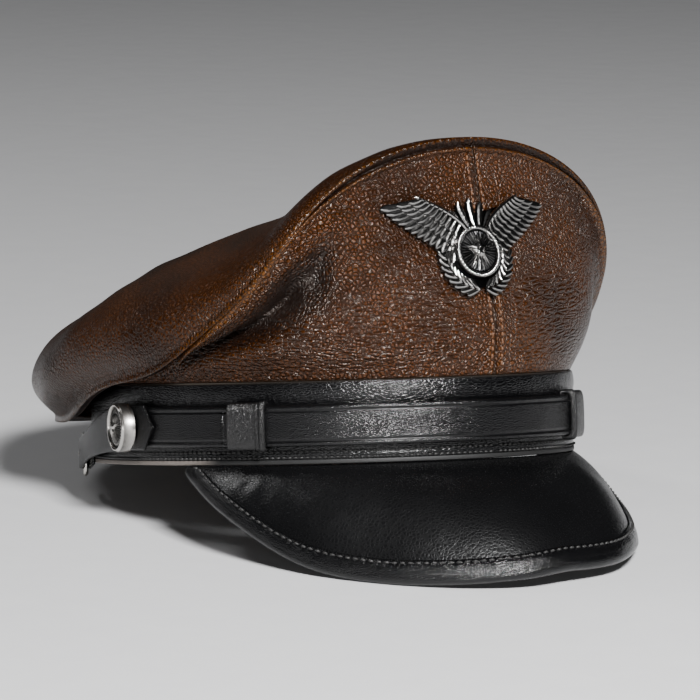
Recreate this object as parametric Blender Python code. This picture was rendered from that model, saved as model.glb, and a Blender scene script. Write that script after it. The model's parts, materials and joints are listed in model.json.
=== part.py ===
"""A peaked cap of leather: two-piece crown, top panel, band, peak, straps, buttons and badge.

Cap axes: +X is the wearer's left, -Y the front, +Z up from the bottom of the band.
The whole cap is then tipped so that it rests on its peak and on the back of its band.
"""
import math

import bmesh
import bpy
import numpy as np
from mathutils import Matrix

# Driving dimensions, metres
BAND_LENGTH = 0.2074       # outside of the band, front to back
BAND_WIDTH = 0.1738        # outside of the band, side to side
BAND_HEIGHT = 0.0305
BAND_WALL = 0.0026         # leather over its stiff inner ring
CROWN_RISE = 0.086         # crown rim above the band at the front
RIM_LONGER = 0.0044        # how much longer the crown's rim is than the band
RIM_WIDER = 0.0178         # how much wider the crown's rim is than the band
TOP_RISE = 0.0945          # middle of the top panel above the band's bottom edge
LEATHER = 0.0018           # wall of crown and top panel
PEAK_REACH = 0.0443        # how far the peak stands out in front of the band
PEAK_DROP = 0.0448         # how far the peak falls below the band
PEAK_FLARE = 0.0046        # how far the peak stands out beside the band
PEAK_CORNER = 78.8         # degrees from the front where the peak meets the band
PEAK_WALL = 0.0026
STRAP_WIDTH = 0.0153
STRAP_WALL = 0.0013
STRAP_LOW = 0.0065         # lower edge of the chin strap above the band's bottom edge
KEEPER_WALL = 0.0010
BUTTON_DIAMETER = 0.0186
BUTTON_HEIGHT = 0.0052
REAR_STRAP_WIDTH = 0.0173
BUCKLE_WIRE = 0.0019
BINDING_DEPTH = 0.0090     # how far the peak's binding laps over each face
BINDING_WALL = 0.0010
HEM = 0.007                # crown leather tucked down inside the band
EDGE_HEIGHT = 0.0011       # thin strip that finishes the band's lower edge
BADGE_WIDTH = 0.070
BADGE_HEIGHT = 0.044
BADGE_MIDDLE = 0.0785      # middle of the badge above the band's bottom edge
BADGE_ASIDE = -0.006       # middle of the badge from the front seam
BADGE_WALL = 0.0018
BADGE_SEAT = 0.0008        # back of the badge from the leather, on its pins
BUCKLE_LENGTH = 0.0130
BUCKLE_HEIGHT = 0.0170
BUCKLE_MIDDLE = 0.0028     # middle of the buckle above the band's bottom edge
PRONG_WIRE = 0.0014
TAB_LENGTH = 2.8           # degrees of the shallow point that ends each rear strap
SLIM_STRAP = 0.0035        # how much narrower the rear strap is behind the head
BACK_RISE = 0.0075         # how far the rear strap rises to the middle of the back
GAP = 0.0003               # air between neighbouring pieces

# Places round the band, degrees from the front, negative on the wearer's right
KEEPER_RIGHT = (-64.2, -55.6)
KEEPER_LEFT = (26.0, 34.6)
BUTTON_ANGLE = 95.0
TAB_FRONT = 88.0
BUCKLE_ANGLE = -128.0

SEAM_ROLL = LEATHER * 13 / 9    # width of each raised roll beside the rim seam
TOP_MIDDLE = np.array([0.0, -0.0035, TOP_RISE])
UP = np.array([0.0, 0.0, 1.0])
RIM_LENGTH = BAND_LENGTH + RIM_LONGER
RIM_WIDTH = BAND_WIDTH + RIM_WIDER

# The height of a strap's middle on the band
STRAP_MIDDLE = STRAP_LOW + STRAP_WIDTH / 2

# Layers that stand out from the band, each one clear of the layer below
UNDER_STRAP = GAP + KEEPER_WALL + GAP
OVER_STRAP = UNDER_STRAP + STRAP_WALL + GAP
KEEPER_OUT = OVER_STRAP + STRAP_WALL + GAP

# The buckle's wire stands this far off the band, so that one layer of strap passes
# under it, and the strap that is folded round its bar fits between its ends
BUCKLE_OUT = GAP + STRAP_WALL + GAP + BUCKLE_WIRE / 2
STRAP_AT_BUCKLE = BUCKLE_HEIGHT - 2 * BUCKLE_WIRE - 6 * GAP

# The middle of the peak's rounded edge lies this far in from it
NOSE = PEAK_WALL / 2 + GAP + BINDING_WALL

PEAK_STEPS = 33            # stations along the peak, shared by its leaf and its binding
PEAK_END = 0.975           # share of the way to the corner where leaf and binding stop
ROUND_STEPS = 60           # faces once round the head, shared by all that follows the band

# Sections of the crown, one row each 20 degrees from the front to the back.
# side, front and rise place the rim seam, as shares of half the rim's width and
# length and of the crown's rise. foot_out and foot_up are the pull of the quarter
# as it leaves the band, lip_out and lip_up its pull below the rim, and top_out and
# top_up the pull of the top panel above the rim, all as shares of the crown's rise.
CROWN_SECTIONS = (
    # side, front, rise, foot_out, foot_up, lip_out, lip_up, top_out, top_up
    (0.000, 0.869, 1.000, 0.05, 0.36, 0.02, -0.30, -0.05, 0.13),
    (0.645, 0.784, 0.775, 0.06, 0.28, 0.04, -0.24, 0.06, 0.14),
    (0.854, 0.624, 0.430, 0.09, 0.20, 0.04, -0.12, 0.15, 0.17),
    (0.955, 0.372, 0.176, 0.10, 0.16, 0.02, -0.02, 0.23, 0.25),
    (0.990, 0.105, 0.030, 0.08, 0.13, -0.02, 0.06, 0.33, 0.36),
    (0.965, -0.205, -0.025, 0.07, 0.10, -0.03, 0.08, 0.50, 0.30),
    (0.862, -0.500, -0.140, 0.09, 0.10, -0.02, 0.12, 0.62, 0.24),
    (0.716, -0.790, -0.165, 0.11, 0.11, -0.02, 0.12, 0.54, 0.33),
    (0.440, -1.035, -0.185, 0.12, 0.11, -0.02, 0.12, 0.38, 0.42),
    (0.000, -1.131, -0.192, 0.12, 0.11, -0.02, 0.12, 0.24, 0.48),
)

# Folds pressed into the quarter on the wearer's right, and softer ones on the left.
# angle and share say where a fold starts and ends, round the head and from band to
# rim. depth and width are shares of the crown's rise, and a negative depth is a ridge.
FOLDS = (
    # side, angle_a, share_a, angle_b, share_b, depth, width
    (-1, 33, 0.92, 42, 0.55, 0.085, 0.085),
    (-1, 42, 0.62, 72, 0.42, 0.075, 0.090),
    (-1, 30, 0.35, 62, 0.22, -0.030, 0.120),
    (1, 36, 0.85, 60, 0.45, 0.045, 0.120),
)

# The peak's outline from the middle to its corner, as shares of its reach beyond the
# corner line, its spread and its drop. raised is how much higher the wearer's left side
# stands than the right one, because the soft cap has set with a slight twist.
PEAK_OUTLINE = (
    # side, front, drop, raised
    (0.000, 1.000, 0.915, 0.00),
    (0.240, 0.977, 0.967, 0.08),
    (0.470, 0.851, 1.000, 0.18),
    (0.678, 0.664, 0.971, 0.22),
    (0.842, 0.468, 0.804, 0.20),
    (0.956, 0.234, 0.391, 0.11),
    (0.932, 0.000, 0.000, 0.00),
)


def material(name, colour, roughness, metallic=0.0):
    """A plain Principled surface."""
    made = bpy.data.materials.new(name)
    made.use_nodes = True
    shader = made.node_tree.nodes["Principled BSDF"]
    shader.inputs["Base Color"].default_value = (*colour, 1.0)
    shader.inputs["Roughness"].default_value = roughness
    shader.inputs["Metallic"].default_value = metallic
    return made


def add_object(name, mesh, finish, parent):
    """Link a mesh to the scene under the cap's empty."""
    mesh.materials.append(finish)
    mesh.shade_smooth()
    mesh.set_sharp_from_angle(angle=math.radians(40))
    made = bpy.data.objects.new(name, mesh)
    bpy.context.scene.collection.objects.link(made)
    made.parent = parent
    return made


def mesh_from(name, points, faces):
    """A mesh whose faces are then all turned outwards."""
    mesh = bpy.data.meshes.new(name)
    mesh.from_pydata([tuple(p) for p in points], [], faces)
    body = bmesh.new()
    body.from_mesh(mesh)
    bmesh.ops.recalc_face_normals(body, faces=body.faces)
    bmesh.ops.triangulate(body, faces=body.faces)
    body.to_mesh(mesh)
    body.free()
    return mesh


def grid_faces(rows, columns, start=0, close_rows=False, close_columns=False):
    """Quads of a grid whose points are numbered row by row."""
    faces = []
    for i in range(rows if close_rows else rows - 1):
        for j in range(columns if close_columns else columns - 1):
            i2 = (i + 1) % rows
            j2 = (j + 1) % columns
            faces.append((start + i * columns + j, start + i2 * columns + j,
                          start + i2 * columns + j2, start + i * columns + j2))
    return faces


def swept_mesh(name, sections, closed):
    """A solid from a row of closed sections, each a loop of points: sections[i, j]."""
    count, loop = sections.shape[:2]
    faces = grid_faces(count, loop, close_rows=closed, close_columns=True)
    if not closed:
        faces.append(tuple(range(loop)))
        faces.append(tuple((count - 1) * loop + j for j in range(loop)))
    return mesh_from(name, sections.reshape(-1, 3), faces)


def surface_normals(grid, wrap):
    """Unit normals of a grid of points, from its differences along both ways."""
    padded = np.concatenate([grid[-1:], grid, grid[:1]]) if wrap else grid
    along = np.gradient(padded, axis=0)
    along = along[1:-1] if wrap else along
    across = np.gradient(grid, axis=1)
    normal = np.cross(along, across)
    return normal / np.maximum(np.linalg.norm(normal, axis=-1, keepdims=True), 1e-12)


def wall_sections(outer, inner):
    """Closed loops that run along the outer surface and back along the inner one."""
    return np.concatenate([outer, inner[:, ::-1]], axis=1)


def oval(angle, out=0.0):
    """A point on the band's outer oval in plan, moved out along its normal."""
    across = np.sin(angle) * BAND_WIDTH / 2
    along = -np.cos(angle) * BAND_LENGTH / 2
    normal = np.stack([np.sin(angle) / BAND_WIDTH, -np.cos(angle) / BAND_LENGTH], -1)
    normal = normal / np.linalg.norm(normal, axis=-1, keepdims=True)
    return np.stack([across, along], -1) + normal * np.asarray(out)[..., None]


def on_band(angle, height, out):
    """A point beside the band, at a height and a distance out from its face."""
    plan = oval(angle, out)
    height = np.broadcast_to(height, plan.shape[:-1])
    return np.concatenate([plan, height[..., None]], -1)


def smooth_table(rows, angle, mirrored):
    """Read a table of half the head at any angle through a smooth closed curve.

    The curve is the sum of cosines, or of sines for a mirrored column, that passes
    through every row, so both sides of the head join without a kink.
    """
    rows = np.asarray(rows, float)
    steps = np.linspace(0, math.pi, len(rows))
    order = np.arange(len(rows))
    if mirrored:
        order = order[1:-1]
        weights = np.linalg.solve(np.sin(np.outer(steps[1:-1], order)), rows[1:-1])
        return np.sin(np.multiply.outer(angle, order)) @ weights
    weights = np.linalg.solve(np.cos(np.outer(steps, order)), rows)
    return np.cos(np.multiply.outer(angle, order)) @ weights


def bezier(a, b, c, d, share):
    """A cubic curve from a to d that leaves towards b and arrives from c."""
    share = share[..., None]
    rest = 1 - share
    return rest**3 * a + 3 * rest**2 * share * b + 3 * rest * share**2 * c + share**3 * d


def crown_frame(angle):
    """Rim seam points, outward directions and the pulls of each section."""
    table = np.array(CROWN_SECTIONS)
    side = smooth_table(table[:, 0], angle, True) * RIM_WIDTH / 2
    front = smooth_table(table[:, 1], angle, False) * RIM_LENGTH / 2
    rise = BAND_HEIGHT + smooth_table(table[:, 2], angle, False) * CROWN_RISE
    pulls = [smooth_table(table[:, k], angle, False)[..., None] * CROWN_RISE for k in range(3, 9)]
    rim = np.stack([side, -front, rise], -1)
    outward = oval(angle, 1.0) - oval(angle, 0.0)
    outward = np.concatenate([outward, np.zeros_like(rise)[..., None]], -1)
    return rim, outward, pulls


def fold_depth(angle, share):
    """Depth of the pressed folds at each point of a quarter, a rounded trough each."""
    depth = np.zeros_like(angle)
    for side, angle_a, share_a, angle_b, share_b, deep, wide in FOLDS:
        around = side * np.degrees(angle) / 60
        start = np.array([angle_a / 60, share_a])
        run = np.array([angle_b / 60, share_b]) - start
        place = np.stack([around, share], -1) - start
        along = np.clip(place @ run / (run @ run), 0, 1)
        away = np.linalg.norm(place - along[..., None] * run, axis=-1)
        taper = 1 - 0.7 * np.abs(2 * along - 1)**3
        depth += deep * CROWN_RISE * taper * np.exp(-(away / (1.6 * wide))**2)
    return depth


def quarter_surface(angle, share):
    """The outside of the crown between the band (share 0) and the rim seam (share 1)."""
    rim, outward, (foot_out, foot_up, lip_out, lip_up, _, _) = crown_frame(angle)
    foot = on_band(angle, BAND_HEIGHT + GAP, -0.2 * BAND_WALL)
    near = foot + outward * foot_out + UP * foot_up
    far = rim + outward * lip_out + UP * lip_up
    return bezier(foot, near, far, rim, share)


def top_surface(angle, share):
    """The outside of the top panel between the rim seam (share 0) and its middle (share 1)."""
    rim, outward, pulls = crown_frame(angle)
    spoke = (rim - TOP_MIDDLE) * np.array([1.0, 1.0, 0.0])
    near = rim + outward * pulls[4] + UP * pulls[5]
    far = TOP_MIDDLE + 0.48 * spoke - UP * 0.32 * 0.48 * spoke[..., 1:2]
    return bezier(rim, near, far, np.broadcast_to(TOP_MIDDLE, rim.shape), share)


def seam_roll(distance):
    """Height of the raised roll beside a seam, by the distance from the seam."""
    return 0.45 * SEAM_ROLL * np.exp(-((distance - 0.6 * SEAM_ROLL) / (0.5 * SEAM_ROLL))**2)


def shares_from_rim(surface, angle, count, rim_share):
    """Shares along each section, first close steps of a set length from the rim seam.

    The length of a section comes from the straight runs between its sampled points.
    """
    sample = np.linspace(0, 1, 24)
    around, along = np.meshgrid(angle, sample, indexing="ij")
    length = np.linalg.norm(np.diff(surface(around, along), axis=1), axis=-1).sum(1)
    close = np.outer(1 / length, np.array([0.45, 0.9, 1.3, 2.0]) * SEAM_ROLL)
    far = np.linspace(0, 1, count + 1)[1:]
    away = np.concatenate([close, close[:, -1:] + (1 - close[:, -1:]) * far], 1)
    return np.abs(rim_share - away)


def skived(reach):
    """Thickness of the leather, pared down towards the seam that it is sewn in."""
    return LEATHER * (0.16 + 0.84 * np.clip(reach / SEAM_ROLL - 0.4, 0, 2.4) / 2.4)


def make_quarter(name, side, finish, parent):
    """Half of the crown's wall, from the front seam to the back seam, with its hem."""
    inset = math.radians(0.12)
    angle = side * np.linspace(inset, math.pi - inset, ROUND_STEPS // 2 + 1)
    up = shares_from_rim(quarter_surface, angle, 7, 1.0)[:, ::-1]
    around = np.broadcast_to(angle[:, None], up.shape)
    skin = quarter_surface(around, up)
    normal = surface_normals(skin, False) * side
    reach = np.linalg.norm(skin - crown_frame(around)[0], axis=-1)
    lift = seam_roll(reach) - fold_depth(around, up) * np.sin(math.pi * np.clip(up, 0, 1))
    skin = skin + normal * lift[..., None]
    hem = np.stack([on_band(angle, BAND_HEIGHT - HEM, -BAND_WALL - GAP),
                    on_band(angle, BAND_HEIGHT + GAP, -BAND_WALL - GAP)], 1)
    lining = skin - surface_normals(skin, False) * side * skived(reach)[..., None]
    lining[:, 0] = on_band(angle, BAND_HEIGHT + GAP + LEATHER, -BAND_WALL)
    back = hem - crown_frame(angle)[1][:, None] * LEATHER
    outer = np.concatenate([hem, skin], 1)
    inner = np.concatenate([back, lining], 1)
    return add_object(name, swept_mesh(name, wall_sections(outer, inner), False), finish, parent)


def make_top(name, finish, parent):
    """The top panel: a bowl-shaped wall from its rolled edge to a point in the middle."""
    angle = np.linspace(0, 2 * math.pi, ROUND_STEPS, endpoint=False)
    out = shares_from_rim(top_surface, angle, 6, 0.0)[:, :-1]
    around = np.broadcast_to(angle[:, None], out.shape)
    skin = top_surface(around, out)
    normal = surface_normals(skin, True)
    reach = np.linalg.norm(skin - crown_frame(around)[0], axis=-1)
    skin = skin + normal * seam_roll(reach)[..., None]
    lining = skin - surface_normals(skin, True) * skived(reach)[..., None]
    columns = out.shape[1]
    sheet = ROUND_STEPS * columns
    poles = [TOP_MIDDLE, TOP_MIDDLE - UP * LEATHER]
    points = np.concatenate([skin.reshape(-1, 3), lining.reshape(-1, 3), poles])
    faces = grid_faces(ROUND_STEPS, columns, 0, close_rows=True)
    faces += [tuple(reversed(f)) for f in grid_faces(ROUND_STEPS, columns, sheet, close_rows=True)]
    for i in range(ROUND_STEPS):
        k = (i + 1) % ROUND_STEPS
        faces.append((i * columns, sheet + i * columns, sheet + k * columns, k * columns))
        last, after = i * columns + columns - 1, k * columns + columns - 1
        faces.append((last, after, 2 * sheet))
        faces.append((sheet + after, sheet + last, 2 * sheet + 1))
    return add_object(name, mesh_from(name, points, faces), finish, parent)


def make_ring(name, low, high, inside, outside, finish, parent):
    """A wall of even thickness round the head, with flat edges."""
    angle = np.linspace(0, 2 * math.pi, ROUND_STEPS, endpoint=False)
    loop = [on_band(angle, low, outside), on_band(angle, high, outside),
            on_band(angle, high, inside), on_band(angle, low, inside)]
    return add_object(name, swept_mesh(name, np.stack(loop, 1), True), finish, parent)


def catmull(rows, share):
    """A smooth curve through the rows of a table, mirrored at its first row."""
    rows = np.asarray(rows, float)
    before = rows[1] * np.array([-1.0, 1.0, 1.0, 1.0])
    after = 2 * rows[-1] - rows[-2]
    knots = np.concatenate([[before], rows, [after]])
    place = np.clip(share, 0, 1) * (len(rows) - 1)
    index = np.minimum(place.astype(int), len(rows) - 2)
    t = (place - index)[..., None]
    a, b, c, d = (knots[index + k] for k in range(4))
    return 0.5 * (2 * b + (c - a) * t + (2 * a - 5 * b + 4 * c - d) * t**2
                  + (3 * b - a - 3 * c + d) * t**3)


def peak_rim(share):
    """The peak's outer edge, share -1 at the right corner, 0 in front, 1 at the left.

    The outline is drawn out a little near its ends so that it closes on the band.
    """
    corner = oval(np.array(math.radians(PEAK_CORNER)))
    length = BAND_LENGTH / 2 + PEAK_REACH + corner[1]
    row = catmull(PEAK_OUTLINE, np.abs(share))
    side = row[..., 0] * (BAND_WIDTH / 2 + PEAK_FLARE)
    miss = corner[0] - PEAK_OUTLINE[-1][0] * (BAND_WIDTH / 2 + PEAK_FLARE)
    side = side + miss * np.abs(share)**8
    drop = row[..., 2] - np.where(share > 0, row[..., 3], 0.0)
    drop = NOSE + GAP + drop * (PEAK_DROP - NOSE - GAP)
    return np.stack([np.sign(share) * side, corner[1] - row[..., 1] * length, -drop], -1)


def peak_surface(share, out):
    """The middle of the peak's wall from its seam (out 0) to its edge (out 1), bowed upwards."""
    seam = on_band(share * math.radians(PEAK_CORNER), -GAP - PEAK_WALL / 2, -0.0012)
    ahead = peak_rim(share) - seam
    width = np.linalg.norm(ahead, axis=-1, keepdims=True)
    lift = UP - ahead * ahead[..., 2:3] / width**2
    lift = lift / np.linalg.norm(lift, axis=-1, keepdims=True)
    out = out[..., None]
    return seam + ahead * out + lift * 0.36 * width * out * (1 - out)


def peak_frame(share, away):
    """A point of the peak by its distance from the edge, with its normal and outward way."""
    width = np.linalg.norm(peak_rim(share) - peak_surface(share, np.zeros_like(share)), axis=-1)
    away = np.minimum(away, 0.75 * width)
    out = 1 - away / width
    step = 1e-3
    point = peak_surface(share, out)
    ahead = point - peak_surface(share, out - step)
    beside = peak_surface(share + step, out) - peak_surface(share - step, out)
    normal = np.cross(ahead, beside)
    normal = normal / np.linalg.norm(normal, axis=-1, keepdims=True)
    normal = normal * np.sign(normal[..., 2:3])
    return point, normal, ahead / np.linalg.norm(ahead, axis=-1, keepdims=True)


def peak_shares(count):
    """Stations along the peak, closer together towards its corners."""
    return PEAK_END * np.sin(np.linspace(-1, 1, count) * 1.35) / math.sin(1.35)


def make_peak(finish, parent):
    """The stiff curved leaf, from its seam under the band to just inside its binding."""
    share = peak_shares(PEAK_STEPS)
    width = np.linalg.norm(peak_rim(share) - peak_surface(share, 0 * share), axis=-1)
    bare = 1 - np.minimum(BINDING_DEPTH / width, 0.75)
    edge = 1 - NOSE / width
    out = np.stack([0 * bare, 0.25 * bare, 0.5 * bare, 0.75 * bare, bare, (bare + edge) / 2, edge], 1)
    point = peak_surface(np.broadcast_to(share[:, None], out.shape), out)
    normal = surface_normals(point, False)
    normal = normal * np.sign(normal[..., 2:3])
    loops = wall_sections(point + normal * PEAK_WALL / 2, point - normal * PEAK_WALL / 2)
    return add_object("peak", swept_mesh("peak", loops, False), finish, parent)


def make_binding(finish, parent):
    """A strip folded round the peak's edge, its section a long hook with a round nose."""
    share = peak_shares(PEAK_STEPS)
    inner = PEAK_WALL / 2 + GAP
    laps = (BINDING_DEPTH, BINDING_DEPTH / 2)
    loop = []
    for away in laps:
        point, normal, _ = peak_frame(share, away)
        loop.append(point + normal * NOSE)
    middle, normal, ahead = peak_frame(share, NOSE)
    for turn in np.radians([0, 45, 90, 135, 180]):
        loop.append(middle + NOSE * (normal * math.cos(turn) + ahead * math.sin(turn)))
    for away, height in ((laps[1], -NOSE), (laps[0], -NOSE), (laps[0], -inner), (laps[1], -inner)):
        point, normal, _ = peak_frame(share, away)
        loop.append(point + normal * height)
    middle, normal, ahead = peak_frame(share, NOSE)
    loop += [middle - normal * inner + ahead * 0.0004, middle + normal * inner + ahead * 0.0004]
    for away in laps[::-1]:
        point, normal, _ = peak_frame(share, away)
        loop.append(point + normal * inner)
    return add_object("peak_binding", swept_mesh("peak_binding", np.stack(loop, 1), False), finish, parent)


def after(angle, length):
    """The angle that lies a length further round the band, in degrees."""
    return angle + math.degrees(4 * length / (BAND_LENGTH + BAND_WIDTH))


def make_ribbon(name, angles, outs, middles, widths, finish, parent):
    """A strap laid round the band: its wall follows the path of its middle layer.

    angles and outs are the path in degrees and metres from the band's face, middles
    and widths the height of the strap's middle and its width at each station.
    """
    angles = np.radians(np.asarray(angles, float))
    outs = np.broadcast_to(outs, angles.shape).astype(float)
    middles = np.broadcast_to(middles, angles.shape)
    widths = np.broadcast_to(widths, angles.shape)
    scale = (BAND_LENGTH + BAND_WIDTH) / 4
    along = np.stack([np.gradient(angles) * scale, np.gradient(outs)], -1)
    along = along / np.linalg.norm(along, axis=-1, keepdims=True)
    shift = STRAP_WALL / 2
    loop = []
    for face, edge in ((1, -0.5), (1, 0.5), (-1, 0.5), (-1, -0.5)):
        turn = angles - face * along[:, 1] * shift / scale
        loop.append(on_band(turn, middles + edge * widths, outs + face * along[:, 0] * shift))
    return add_object(name, swept_mesh(name, np.stack(loop, 1), False), finish, parent)


def make_chin_straps(finish, parent):
    """Two straps that lie on each other in front and end under the side buttons."""
    end = BUTTON_ANGLE + 5
    layer = UNDER_STRAP + STRAP_WALL / 2
    angles = np.linspace(-end, KEEPER_LEFT[1] + 1.5, 34)
    make_ribbon("chin_strap_under", angles, layer, STRAP_MIDDLE, STRAP_WIDTH, finish, parent)
    angles = np.linspace(KEEPER_RIGHT[0] - 1.5, end, 42)
    fall = np.clip((angles - KEEPER_LEFT[1] - 3) / 12, 0, 1)
    fall = fall * fall * (3 - 2 * fall)
    outs = OVER_STRAP + STRAP_WALL / 2 - fall * (OVER_STRAP - UNDER_STRAP)
    make_ribbon("chin_strap_over", angles, outs, STRAP_MIDDLE, STRAP_WIDTH, finish, parent)


def make_keeper(name, angles, rim_end, finish, parent):
    """A leather sleeve round both straps, with a thick roll at one end."""
    low = STRAP_LOW - GAP
    high = STRAP_LOW + STRAP_WIDTH + GAP
    wall = KEEPER_WALL
    stations = np.radians(np.linspace(angles[0], angles[1], 9))
    extra = np.zeros(9)
    extra[rim_end] = 0.0007
    extra[1 if rim_end == 0 else 7] = 0.0009
    extra[2 if rim_end == 0 else 6] = 0.0005
    outer = [(GAP, low - wall), (KEEPER_OUT + wall * 0.4, low - wall), (KEEPER_OUT + wall, low),
             (KEEPER_OUT + wall * 1.25, STRAP_MIDDLE), (KEEPER_OUT + wall, high),
             (KEEPER_OUT + wall * 0.4, high + wall), (GAP, high + wall)]
    inner = [(GAP + wall, high), (KEEPER_OUT, high), (KEEPER_OUT, low), (GAP + wall, low)]
    rings = []
    for ring, grow in ((outer, extra), (inner, 0 * extra)):
        loop = [on_band(stations, height + (height - STRAP_MIDDLE) / (high - low) * grow,
                        out + (grow if out > GAP else 0)) for out, height in ring]
        rings.append(np.stack(loop, 1))
    outer, inner = rings
    count = len(stations)
    points = np.concatenate([outer.reshape(-1, 3), inner.reshape(-1, 3)])
    start = outer.shape[0] * outer.shape[1]
    faces = grid_faces(count, 7, 0, close_columns=True)
    faces += [tuple(reversed(f)) for f in grid_faces(count, 4, start, close_columns=True)]
    for i in (0, count - 1):
        o = [i * 7 + k for k in range(7)]
        n = [start + i * 4 + k for k in range(4)]
        faces += [(o[0], o[1], n[2], n[3]), (o[1], o[2], n[2]), (o[2], o[3], n[2]),
                  (o[3], n[1], n[2]), (o[3], o[4], n[1]), (o[4], o[5], n[1]),
                  (o[5], o[6], n[0], n[1]), (o[6], o[0], n[3], n[0])]
    return add_object(name, mesh_from(name, points, faces), finish, parent)


def make_button(name, angle, finish, parent):
    """A turned metal button: straight rim, stepped face and a low dome."""
    radius = BUTTON_DIAMETER / 2
    profile = ((0.94, 0.0), (1.0, 0.06), (1.0, 0.62), (0.95, 0.70), (0.86, 0.70), (0.82, 0.60),
               (0.72, 0.64), (0.50, 0.80), (0.26, 0.93))
    count = 24
    turn = np.linspace(0, 2 * math.pi, count, endpoint=False)
    centre = on_band(np.array(math.radians(angle)), STRAP_MIDDLE, KEEPER_OUT)
    outward = on_band(np.array(math.radians(angle)), STRAP_MIDDLE, KEEPER_OUT + 1) - centre
    beside = np.cross(UP, outward)
    points = []
    for share, height in profile:
        ring = np.outer(np.cos(turn), beside) + np.outer(np.sin(turn), UP)
        points.append(centre + ring * radius * share + outward * BUTTON_HEIGHT * height)
    points = np.concatenate(points + [[centre], [centre + outward * BUTTON_HEIGHT]])
    faces = grid_faces(len(profile), count, 0, close_columns=True)
    last = (len(profile) - 1) * count
    total = len(profile) * count
    for k in range(count):
        after_k = (k + 1) % count
        faces.append((total, k, after_k))
        faces.append((last + k, total + 1, last + after_k))
    return add_object(name, mesh_from(name, points, faces), finish, parent)


def rear_course(angle):
    """Height of the rear strap's middle at an angle from the front, in degrees."""
    fall = np.clip((np.abs(angle) - BUTTON_ANGLE) / (abs(BUCKLE_ANGLE) - BUTTON_ANGLE), 0, 1)
    return STRAP_MIDDLE - (STRAP_MIDDLE - BUCKLE_MIDDLE) * fall * fall * (3 - 2 * fall)


def make_rear_straps(finish, parent):
    """A short strap that holds the buckle, and a long one round the back to it."""
    top_layer = OVER_STRAP + STRAP_WALL / 2
    bar = after(BUCKLE_ANGLE, BUCKLE_LENGTH / 2 - BUCKLE_WIRE / 2)
    bend = BUCKLE_WIRE / 2 + GAP + STRAP_WALL / 2
    run = np.linspace(-TAB_FRONT, after(bar, 0.004), 12)
    settle = np.clip((-run - BUTTON_ANGLE - 6) / 12, 0, 1)
    over = BUCKLE_OUT + bend
    outs = top_layer + (over - top_layer) * settle * settle * (3 - 2 * settle)
    turns = np.linspace(0, math.pi, 9)
    round_bar = [after(bar, -bend * math.sin(k)) for k in turns]
    outs_bar = BUCKLE_OUT + bend * np.cos(turns)
    back = [after(bar, k) for k in (0.003, 0.006, 0.009)]
    tab = -TAB_FRONT + TAB_LENGTH * np.array([1.0, 0.5])
    angles = np.concatenate([tab, run, round_bar, back])
    outs = np.concatenate([[top_layer] * 2, outs, outs_bar, [BUCKLE_OUT - bend] * 3])
    narrow = np.clip((-angles - BUTTON_ANGLE - 5) / 14, 0, 1)
    widths = REAR_STRAP_WIDTH + (STRAP_AT_BUCKLE - REAR_STRAP_WIDTH) * narrow
    widths[:2] = REAR_STRAP_WIDTH * np.array([0.12, 0.56])
    make_ribbon("rear_strap_short", angles, outs, rear_course(angles), widths, finish, parent)
    end = 360 + after(BUCKLE_ANGLE, 0.0005)
    run = np.linspace(TAB_FRONT, end, 42)
    settle = np.clip((run - BUTTON_ANGLE - 6) / 14, 0, 1)
    low_layer = GAP + STRAP_WALL / 2
    outs = top_layer + (low_layer - top_layer) * settle * settle * (3 - 2 * settle)
    angles = np.concatenate([TAB_FRONT - TAB_LENGTH * np.array([1.0, 0.5]), run])
    outs = np.concatenate([[top_layer] * 2, outs])
    other = 360 + BUCKLE_ANGLE
    past = math.pi * (angles + BUCKLE_ANGLE) / (other + BUCKLE_ANGLE)
    middles = np.where(past > 0, BUCKLE_MIDDLE + BACK_RISE * np.sin(past), rear_course(angles))
    narrow = np.clip((angles - other + 18) / 12, 0, 1)
    widths = REAR_STRAP_WIDTH - SLIM_STRAP
    widths = widths + (STRAP_AT_BUCKLE - widths) * narrow
    widths[:2] = REAR_STRAP_WIDTH * np.array([0.12, 0.56])
    start = np.clip((angles - BUTTON_ANGLE - 5) / 14, 0, 1)
    widths[2:] += (SLIM_STRAP * (1 - start))[2:]
    make_ribbon("rear_strap_long", angles, outs, middles, widths, finish, parent)


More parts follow.
